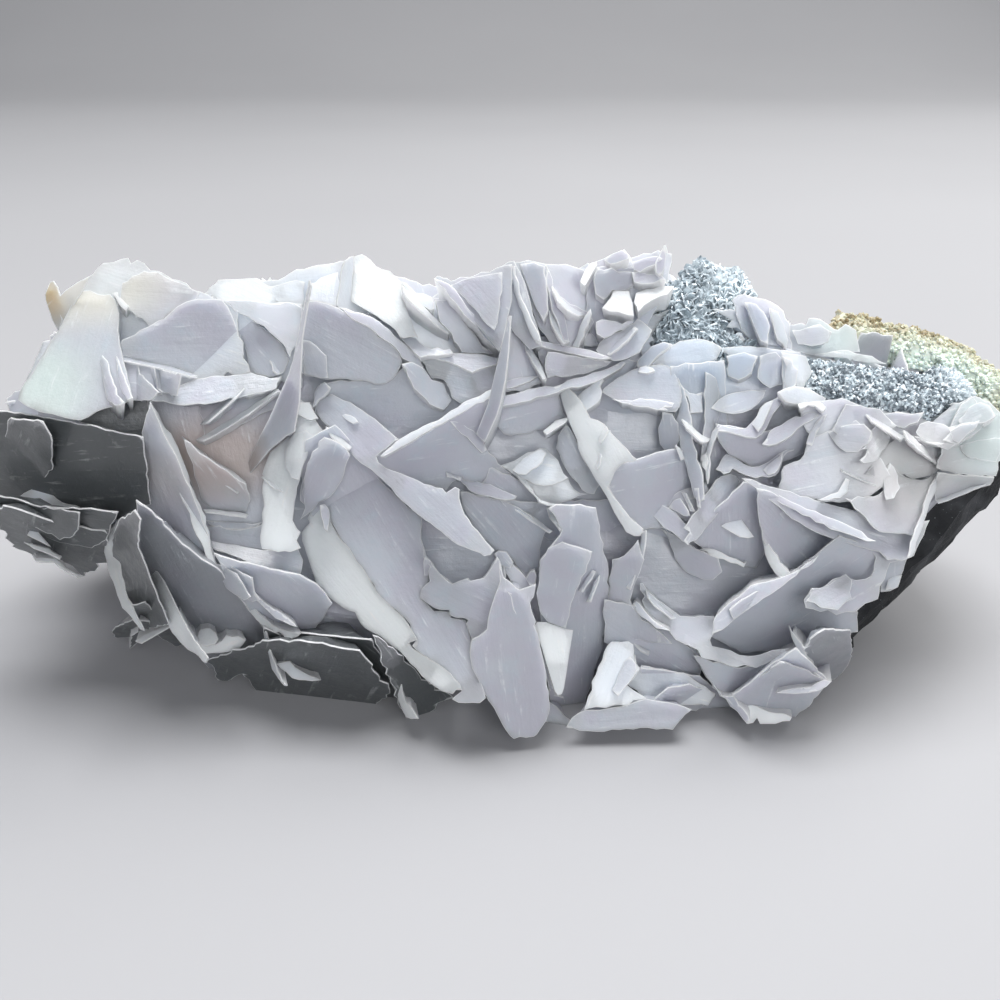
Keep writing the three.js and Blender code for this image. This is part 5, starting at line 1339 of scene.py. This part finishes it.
def calcite_finish():
    """Pale translucent calcite: each blade smokier or milkier than the next, partly as painted shade and
    painted highlight, painted white along the rims as a highlight, with fine growth lines and scratches,
    warm brown painted into the left recess as a reflection, and mint and cream tints at the two ends."""
    paint = Paint("calcite_translucent")
    rim = paint.value("ShaderNodeAttribute", {"attribute_name": "rim"}, output="Fac")
    milk = paint.value("ShaderNodeAttribute", {"attribute_name": "milk"}, output="Fac")
    grain = paint.node("ShaderNodeAttribute", {"attribute_name": "grain"}).outputs["Vector"]
    lengthways = paint.node(
        "ShaderNodeMapping", links={"Vector": grain, "Scale": (0.10, 1, 1)}).outputs[0]
    clouds = paint.noise(0.012, 3)
    veins = paint.noise(0.0035, 5, 0.7)
    body = paint.mix(paint.ramp(clouds, 0.4, 0.62), CALCITE_PALE, CALCITE_LAVENDER)
    body = paint.mix(paint.ramp(veins, 0.48, 0.72) * 0.5, body, CALCITE_AQUA)
    tints = (
        (MINT, 0.75, (-71, -23, 54), (16, 14, 13)),
        (MINT, 0.6, (80, -19, 46), (13, 14, 13)),
        (MINT, 0.7, (62, -10, 60), (17, 11, 8)),
        (CREAM, 0.3, (65, -27, 42), (16, 12, 13)),
        (CREAM, 0.6, (-66, -14, 69), (24, 14, 9)),
        (CREAM, 0.7, (-83, -16, 50), (9, 8, 4)),
        (ICE_BLUE, 0.7, (33, -15, 58), (18, 14, 14)),
        # Painted reflection: warm brown over the left recess.
        (WARM_BROWN, 0.6, (-46, -22, 43), (18, 12, 10)),
        (HONEY, 0.95, (-78, -15, 67), (12, 16, 10)),
    )
    for colour, strength, centre, reach in tints:
        body = paint.mix(paint.near(centre, reach) * strength, body, colour)
    # Painted shade and highlight: blades set below 2 turn smoky and those above 2 turn milky, besides their
    # real milkiness.
    body = paint.mix((2 - milk) * 0.5, body, CALCITE_SMOKY_AND_PAINTED_SHADE)
    body = paint.mix((milk - 2) * 0.5 + 0.25 * veins * (milk - 2), body, CALCITE_MILKY_AND_PAINTED_HIGHLIGHT)
    lines = paint.noise(0.0011, 3, 0.65, lengthways)
    scratches = paint.ramp(lines, 0.58, 0.68) * paint.ramp(veins, 0.43, 0.62)
    body = paint.mix(scratches * (0.25 + 0.18 * milk), body, FROST_AND_RIM_HIGHLIGHT_WHITE)
    body = paint.mix(paint.ramp(veins, 0.62, 0.8) * 0.3, body, FROST_AND_RIM_HIGHLIGHT_WHITE)
    # Painted highlight: white along the rims where light glows through the thin edges.
    body = paint.mix(paint.ramp(rim, 0.3, 0.9), body, FROST_AND_RIM_HIGHLIGHT_WHITE)
    relief = paint.bump(lines, 0.00015, 0.7)
    relief = paint.bump(veins, 0.0004, 0.5, relief)
    return paint.finish({
        "Base Color": body,
        "Roughness": 0.30 + 0.25 * rim + 0.20 * paint.ramp(veins, 0.35, 0.7),
        "IOR": CALCITE_BENDING,
        "Transmission Weight": CALCITE_CLEARNESS,
        "Subsurface Weight": 1.0,
        "Subsurface Radius": (1.0, 0.97, 1.0),
        "Subsurface Scale": CALCITE_GLOW_DEPTH,
        "Coat Weight": 0.25,
        "Coat Roughness": 0.12,
        "Normal": relief,
    })


calcite.data.materials.clear()
calcite.data.materials.append(calcite_finish())
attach(calcite, "root")
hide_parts("bladed_calcite")

# Host rock: a dark, dense, fine-grained rock that the calcite grew on. It is broken rough, and only
# its right end and the underside show.
ROCK_DARK = (0.012, 0.013, 0.015)
ROCK_GREY = (0.045, 0.047, 0.052)
ROCK_SPARK = (0.20, 0.21, 0.23)
ROCK_ROUGHNESS = 1.3
ROCK_GRAIN = 6


def subdivided_copy(node, cuts):
    """A closed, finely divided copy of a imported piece, in millimetres."""
    shape = bmesh.new()
    shape.from_mesh(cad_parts[node].data)
    bmesh.ops.remove_doubles(shape, verts=shape.verts[:], dist=1e-6)
    bmesh.ops.scale(shape, vec=(1 / MM,) * 3, verts=shape.verts[:])
    for longest in cuts:
        long_sides = [side for side in shape.edges if side.calc_length() > longest]
        bmesh.ops.subdivide_edges(shape, edges=long_sides, cuts=1)
        bmesh.ops.triangulate(shape, faces=shape.faces[:])
    shape.normal_update()
    return shape


def broken_rock():
    shape = subdivided_copy("dark_matrix", (24, 12, 6, 3, 2.2))
    for vertex in shape.verts:
        place = vertex.co.copy()
        depth = 0.5 + 0.5 * noise.fractal(place / ROCK_GRAIN, 0.9, 2.1, 4)
        depth += 0.5 * abs(noise.cell(place / ROCK_GRAIN))
        if place.z > 0.01:
            vertex.co = place - vertex.normal * ROCK_ROUGHNESS * min(1.0, max(0.0, depth))
    bmesh.ops.scale(shape, vec=(MM,) * 3, verts=shape.verts[:])
    mesh = bpy.data.meshes.new("host_rock")
    shape.to_mesh(mesh)
    shape.free()
    made = bpy.data.objects.new("host_rock", mesh)
    bpy.context.scene.collection.objects.link(made)
    return made


def rock_finish():
    """Near-black rock with a dull grain and a few tiny glints."""
    paint = Paint("host_rock_dark")
    grain = paint.noise(0.0012, 5, 0.7)
    patches = paint.noise(0.009, 3)
    body = paint.mix(paint.ramp(patches, 0.45, 0.7), ROCK_DARK, ROCK_GREY)
    cells = paint.value("ShaderNodeTexVoronoi", links={"Vector": paint.place, "Scale": 1600})
    glints = 1 - paint.ramp(cells, 0.08, 0.16)
    body = paint.mix(glints * paint.ramp(grain, 0.5, 0.62), body, ROCK_SPARK)
    relief = paint.bump(grain, 0.0003, 0.8)
    return paint.finish({
        "Base Color": body,
        "Roughness": 0.78 - 0.4 * glints,
        "Specular IOR Level": 0.4,
        "Normal": relief,
    })


rock = broken_rock()
rock.data.materials.append(rock_finish())
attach(rock, "root")
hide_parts("dark_matrix")

# Druse: crusts of very small glassy crystals. The one on the crest has thin plates of about 1 mm, the
# one on the shoulder fine grains. Each is a bed of calcite with the crystals standing on it.
DRUSE_DARK = (0.15, 0.18, 0.205)
DRUSE_GREY = (0.35, 0.41, 0.45)
DRUSE_WHITE = (0.68, 0.76, 0.80)


def point_crystal(name, width, length, taper, sides=6):
    """A small crystal on its base, standing along Z, with a flat-faced tip. Sizes in metres."""
    ring = [(k + 0.5) / sides * math.tau for k in range(sides)]
    foot = [(width * math.cos(a), width * math.sin(a), -0.35 * length) for a in ring]
    waist = [(width * math.cos(a), width * math.sin(a), 0.45 * length) for a in ring]
    shape = bmesh.new()
    low = [shape.verts.new(p) for p in foot]
    mid = [shape.verts.new(p) for p in waist]
    tip = shape.verts.new((taper * width, 0, length))
    for k in range(sides):
        n = (k + 1) % sides
        shape.faces.new((low[k], low[n], mid[n], mid[k]))
        shape.faces.new((mid[k], mid[n], tip))
    shape.faces.new(low[::-1])
    mesh = bpy.data.meshes.new(name)
    shape.to_mesh(mesh)
    shape.free()
    return bpy.data.objects.new(name, mesh)


def thin_plate_crystal(name, width, length, thickness):
    """A thin six-sided plate standing on edge. Sizes in metres."""
    outline = [(-0.5, -0.3), (0.5, -0.3), (0.62, 0.4), (0.3, 1.0), (-0.25, 0.92), (-0.6, 0.5)]
    shape = bmesh.new()
    front = [shape.verts.new((x * width, -thickness / 2, z * length)) for x, z in outline]
    back = [shape.verts.new((x * width, thickness / 2, z * length)) for x, z in outline]
    shape.faces.new(front)
    shape.faces.new(back[::-1])
    for k in range(len(outline)):
        n = (k + 1) % len(outline)
        shape.faces.new((front[n], front[k], back[k], back[n]))
    mesh = bpy.data.meshes.new(name)
    shape.to_mesh(mesh)
    shape.free()
    return bpy.data.objects.new(name, mesh)


def crust_tree(material):
    """Geometry Nodes tree that sets crystals all over a bed, leaning a little every way."""
    tree = bpy.data.node_groups.new("Crystal Crust", "GeometryNodeTree")
    sockets = {}
    for name, kind, default in (
            ("Bed", "NodeSocketGeometry", None), ("Crystal", "NodeSocketObject", None),
            ("Crystals per Square Metre", "NodeSocketFloat", 1e6), ("Smallest", "NodeSocketFloat", 0.5),
            ("Largest", "NodeSocketFloat", 1.3), ("Lean", "NodeSocketFloat", 0.6),
            ("Seed", "NodeSocketInt", 1)):
        socket = tree.interface.new_socket(name, in_out="INPUT", socket_type=kind)
        if default is not None:
            socket.default_value = default
        sockets[name] = socket.identifier
    tree.interface.new_socket("Crust", in_out="OUTPUT", socket_type="NodeSocketGeometry")
    add = tree.nodes.new
    start, end = add("NodeGroupInput"), add("NodeGroupOutput")
    spread = add("GeometryNodeDistributePointsOnFaces")
    crystal = add("GeometryNodeObjectInfo")
    turn = add("FunctionNodeRandomValue")
    turn.data_type = "FLOAT_VECTOR"
    rotate = add("FunctionNodeRotateRotation")
    rotate.rotation_space = "LOCAL"
    spun = add("FunctionNodeEulerToRotation")
    size = add("FunctionNodeRandomValue")
    place = add("GeometryNodeInstanceOnPoints")
    join = add("GeometryNodeJoinGeometry")
    realize = add("GeometryNodeRealizeInstances")
    coat = add("GeometryNodeSetMaterial")
    coat.inputs["Material"].default_value = material
    lean_high = add("ShaderNodeCombineXYZ")
    lean_low = add("ShaderNodeCombineXYZ")
    minus = add("ShaderNodeMath")
    minus.operation = "MULTIPLY"
    minus.inputs[1].default_value = -1
    lean_high.inputs["Z"].default_value = math.tau
    link = tree.links.new
    link(start.outputs["Bed"], spread.inputs["Mesh"])
    link(start.outputs["Crystals per Square Metre"], spread.inputs["Density"])
    link(start.outputs["Seed"], spread.inputs["Seed"])
    link(start.outputs["Lean"], minus.inputs[0])
    for axis in ("X", "Y"):
        link(start.outputs["Lean"], lean_high.inputs[axis])
        link(minus.outputs[0], lean_low.inputs[axis])
    link(lean_low.outputs[0], turn.inputs["Min"])
    link(lean_high.outputs[0], turn.inputs["Max"])
    link(start.outputs["Seed"], turn.inputs["Seed"])
    link(turn.outputs["Value"], spun.inputs[0])
    link(spread.outputs["Rotation"], rotate.inputs["Rotation"])
    link(spun.outputs[0], rotate.inputs["Rotate By"])
    link(start.outputs["Smallest"], size.inputs[2])
    link(start.outputs["Largest"], size.inputs[3])
    link(start.outputs["Seed"], size.inputs["Seed"])
    link(start.outputs["Crystal"], crystal.inputs["Object"])
    link(spread.outputs["Points"], place.inputs["Points"])
    link(crystal.outputs["Geometry"], place.inputs["Instance"])
    link(rotate.outputs["Rotation"], place.inputs["Rotation"])
    link(size.outputs[1], place.inputs["Scale"])
    link(start.outputs["Bed"], join.inputs["Geometry"])
    link(place.outputs["Instances"], join.inputs["Geometry"])
    link(join.outputs["Geometry"], realize.inputs["Geometry"])
    link(realize.outputs["Geometry"], coat.inputs["Geometry"])
    link(coat.outputs["Geometry"], end.inputs["Crust"])
    return tree, sockets


def crust(name, node, crystal, material, density, sizes, lean, sunk, seed, cuts=(6, 3, 1.6)):
    """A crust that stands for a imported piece: its bed is that piece's form, a little sunk, and the
    crystals' tips reach the form's surface."""
    shape = subdivided_copy(node, cuts)
    for vertex in shape.verts:
        place = vertex.co.copy()
        vertex.co = place - vertex.normal * (sunk + 0.35 * noise.noise(place / 1.7))
    bmesh.ops.scale(shape, vec=(MM,) * 3, verts=shape.verts[:])
    mesh = bpy.data.meshes.new(name)
    shape.to_mesh(mesh)
    shape.free()
    made = bpy.data.objects.new(name, mesh)
    bpy.context.scene.collection.objects.link(made)
    tree, sockets = crust_tree(material)
    modifier = made.modifiers.new("Crust", "NODES")
    modifier.node_group = tree
    modifier[sockets["Crystal"]] = crystal
    modifier[sockets["Crystals per Square Metre"]] = density * 1e6
    modifier[sockets["Smallest"]] = sizes[0]
    modifier[sockets["Largest"]] = sizes[1]
    modifier[sockets["Lean"]] = lean
    modifier[sockets["Seed"]] = seed
    bpy.context.view_layer.update()
    result = bpy.data.meshes.new_from_object(
        made.evaluated_get(bpy.context.evaluated_depsgraph_get()))
    made.modifiers.remove(modifier)
    made.data = result
    result.materials.clear()
    result.materials.append(material)
    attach(made, "root")
    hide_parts(node)
    return made


def druse_finish(name, cell, dark_share, white_patch):
    """Glassy grey crystals: each one is a little lighter or darker than the next, and a few flash."""
    paint = Paint(name)
    cells = paint.node("ShaderNodeTexVoronoi", links={"Vector": paint.place, "Scale": 1 / cell})
    tone = paint.value("ShaderNodeSeparateColor", links={"Color": cells.outputs["Color"]})
    clouds = paint.noise(0.006, 3)
    body = paint.mix(paint.ramp(tone + dark_share, 0.25, 0.6), DRUSE_DARK, DRUSE_GREY)
    body = paint.mix(paint.ramp(tone + 0.5 * clouds, 0.85, 1.15), body, DRUSE_WHITE)
    body = paint.mix(paint.near(*white_patch) * 0.85, body, DRUSE_WHITE)
    fine = paint.noise(0.0004, 2)
    return paint.finish({
        "Base Color": body,
        "Roughness": 0.12 + 0.25 * tone,
        "IOR": CALCITE_BENDING,
        "Subsurface Weight": 0.35,
        "Subsurface Radius": (1.0, 1.0, 1.0),
        "Subsurface Scale": 0.001,
        "Coat Weight": 0.5,
        "Coat Roughness": 0.06,
        "Normal": paint.bump(fine, 0.00005, 0.6),
    })


crest = crust(
    "crest_druse", "druse_crest", thin_plate_crystal("crest_plate", 0.0012, 0.0013, 0.0002),
    druse_finish("druse_crest_glassy", 0.0008, 0.3, ((40, -4, 66), (8, 10, 6))),
    2.4, (0.5, 1.25), 0.9, 0.9, 5)
shoulder = crust(
    "shoulder_druse", "druse_shoulder", point_crystal("shoulder_grain", 0.0003, 0.0008, 0.2, 5),
    druse_finish("druse_shoulder_glassy", 0.0005, 0.0, ((78, -14, 54), (8, 10, 8))),
    2.6, (0.6, 1.3), 0.8, 0.6, 6)

# Rind: a tan, crumbly skin of stained grains along the top right edge.
RIND_TAN = (0.26, 0.215, 0.125)
RIND_PALE = (0.47, 0.46, 0.34)
RIND_RUST = (0.24, 0.15, 0.07)
RIND_MINT = (0.62, 0.72, 0.65)


def rind_finish():
    paint = Paint("rind_tan")
    cells = paint.node("ShaderNodeTexVoronoi", links={"Vector": paint.place, "Scale": 1100})
    tone = paint.value("ShaderNodeSeparateColor", links={"Color": cells.outputs["Color"]})
    clouds = paint.noise(0.005, 4)
    body = paint.mix(paint.ramp(tone + 0.6 * clouds, 0.35, 1.1), RIND_TAN, RIND_PALE)
    body = paint.mix(paint.ramp(clouds, 0.52, 0.68) * 0.6, body, RIND_RUST)
    body = paint.mix(paint.near((68, -8, 52), (32, 14, 12)), body, RIND_MINT)
    return paint.finish({
        "Base Color": body,
        "Roughness": 0.6 - 0.2 * tone,
        "Subsurface Weight": 0.3,
        "Subsurface Radius": (1.0, 0.7, 0.4),
        "Subsurface Scale": 0.0012,
        "Normal": paint.bump(paint.noise(0.0004, 3), 0.0001, 0.8),
    })


rind = crust(
    "tan_rind", "ochre_rind", point_crystal("rind_grain", 0.00042, 0.0007, 0.4, 5), rind_finish(),
    1.6, (0.5, 1.3), 0.9, 0.5, 7)

# Studio: a pale floor that curves up into a backdrop, a wide soft light from above, one from behind on
# the right and a weaker one in front.
FLOOR_GREY = (0.29, 0.29, 0.30)
FLOOR_LIGHTER = (0.33, 0.33, 0.34)
ROOM_LIGHT = (0.80, 0.82, 0.88, 1)
ROOM_STRENGTH = 0.26
SENSOR_WIDTH = 36
LIGHT_AIM = (0, 0, 0.04)
LIGHT_SIZE = (1.0, 1.0)


def studio_floor():
    """The floor is flat around the specimen and curves up far behind it."""
    profile = [(-3.0, 0.0), (1.2, 0.0)]
    profile += [(1.2 + 0.9 * math.sin(a), 0.9 - 0.9 * math.cos(a)) for a in np.linspace(0.1, 1.571, 14)]
    profile += [(2.1, 4.0)]
    points = [(side * 4.0, y, z) for y, z in profile for side in (-1, 1)]
    faces = [(2 * k, 2 * k + 1, 2 * k + 3, 2 * k + 2) for k in range(len(profile) - 1)]
    mesh = bpy.data.meshes.new("floor")
    mesh.from_pydata(points, [], faces)
    mesh.shade_smooth()
    made = bpy.data.objects.new("floor", mesh)
    bpy.context.scene.collection.objects.link(made)
    paint = Paint("floor_matt")
    mesh.materials.append(paint.finish({
        "Base Color": paint.mix(paint.noise(0.4, 2), FLOOR_GREY, FLOOR_LIGHTER),
        "Roughness": 0.8,
    }))


def soft_light(name, place, aim, size, power, colour):
    data = bpy.data.lights.new(name, "AREA")
    data.shape = "RECTANGLE"
    data.size, data.size_y = size
    data.energy = power
    data.color = colour
    made = bpy.data.objects.new(name, data)
    made.location = place
    made.rotation_euler = (Vector(aim) - Vector(place)).to_track_quat("-Z", "Y").to_euler()
    bpy.context.scene.collection.objects.link(made)


studio_floor()
soft_light("above", (0, 0.05, 1.8), LIGHT_AIM, LIGHT_SIZE, 44, (0.985, 0.99, 1.0))
soft_light("behind", (0.9, 0.6, 1.2), LIGHT_AIM, LIGHT_SIZE, 22, (1.0, 0.99, 0.97))
soft_light("front", (0.35, -1.6, 0.75), LIGHT_AIM, LIGHT_SIZE, 19, (0.97, 0.98, 1.0))
world = bpy.data.worlds.new("soft_room")
world.use_nodes = True
world.node_tree.nodes["Background"].inputs["Color"].default_value = ROOM_LIGHT
world.node_tree.nodes["Background"].inputs["Strength"].default_value = ROOM_STRENGTH
bpy.context.scene.world = world
bpy.context.scene.view_settings.view_transform = "Standard"

camera_data = bpy.data.cameras.new("camera")
camera_data.sensor_width = SENSOR_WIDTH
camera_data.lens = SENSOR_WIDTH * SIGHT_UNITS / (2 * GRID_MIDDLE)
camera = bpy.data.objects.new("camera", camera_data)
camera.location = Vector(SIGHT_POINT) * MM
camera.rotation_euler = (math.radians(90) - SIGHT_DIP, 0, 0)
bpy.context.scene.collection.objects.link(camera)
bpy.context.scene.camera = camera
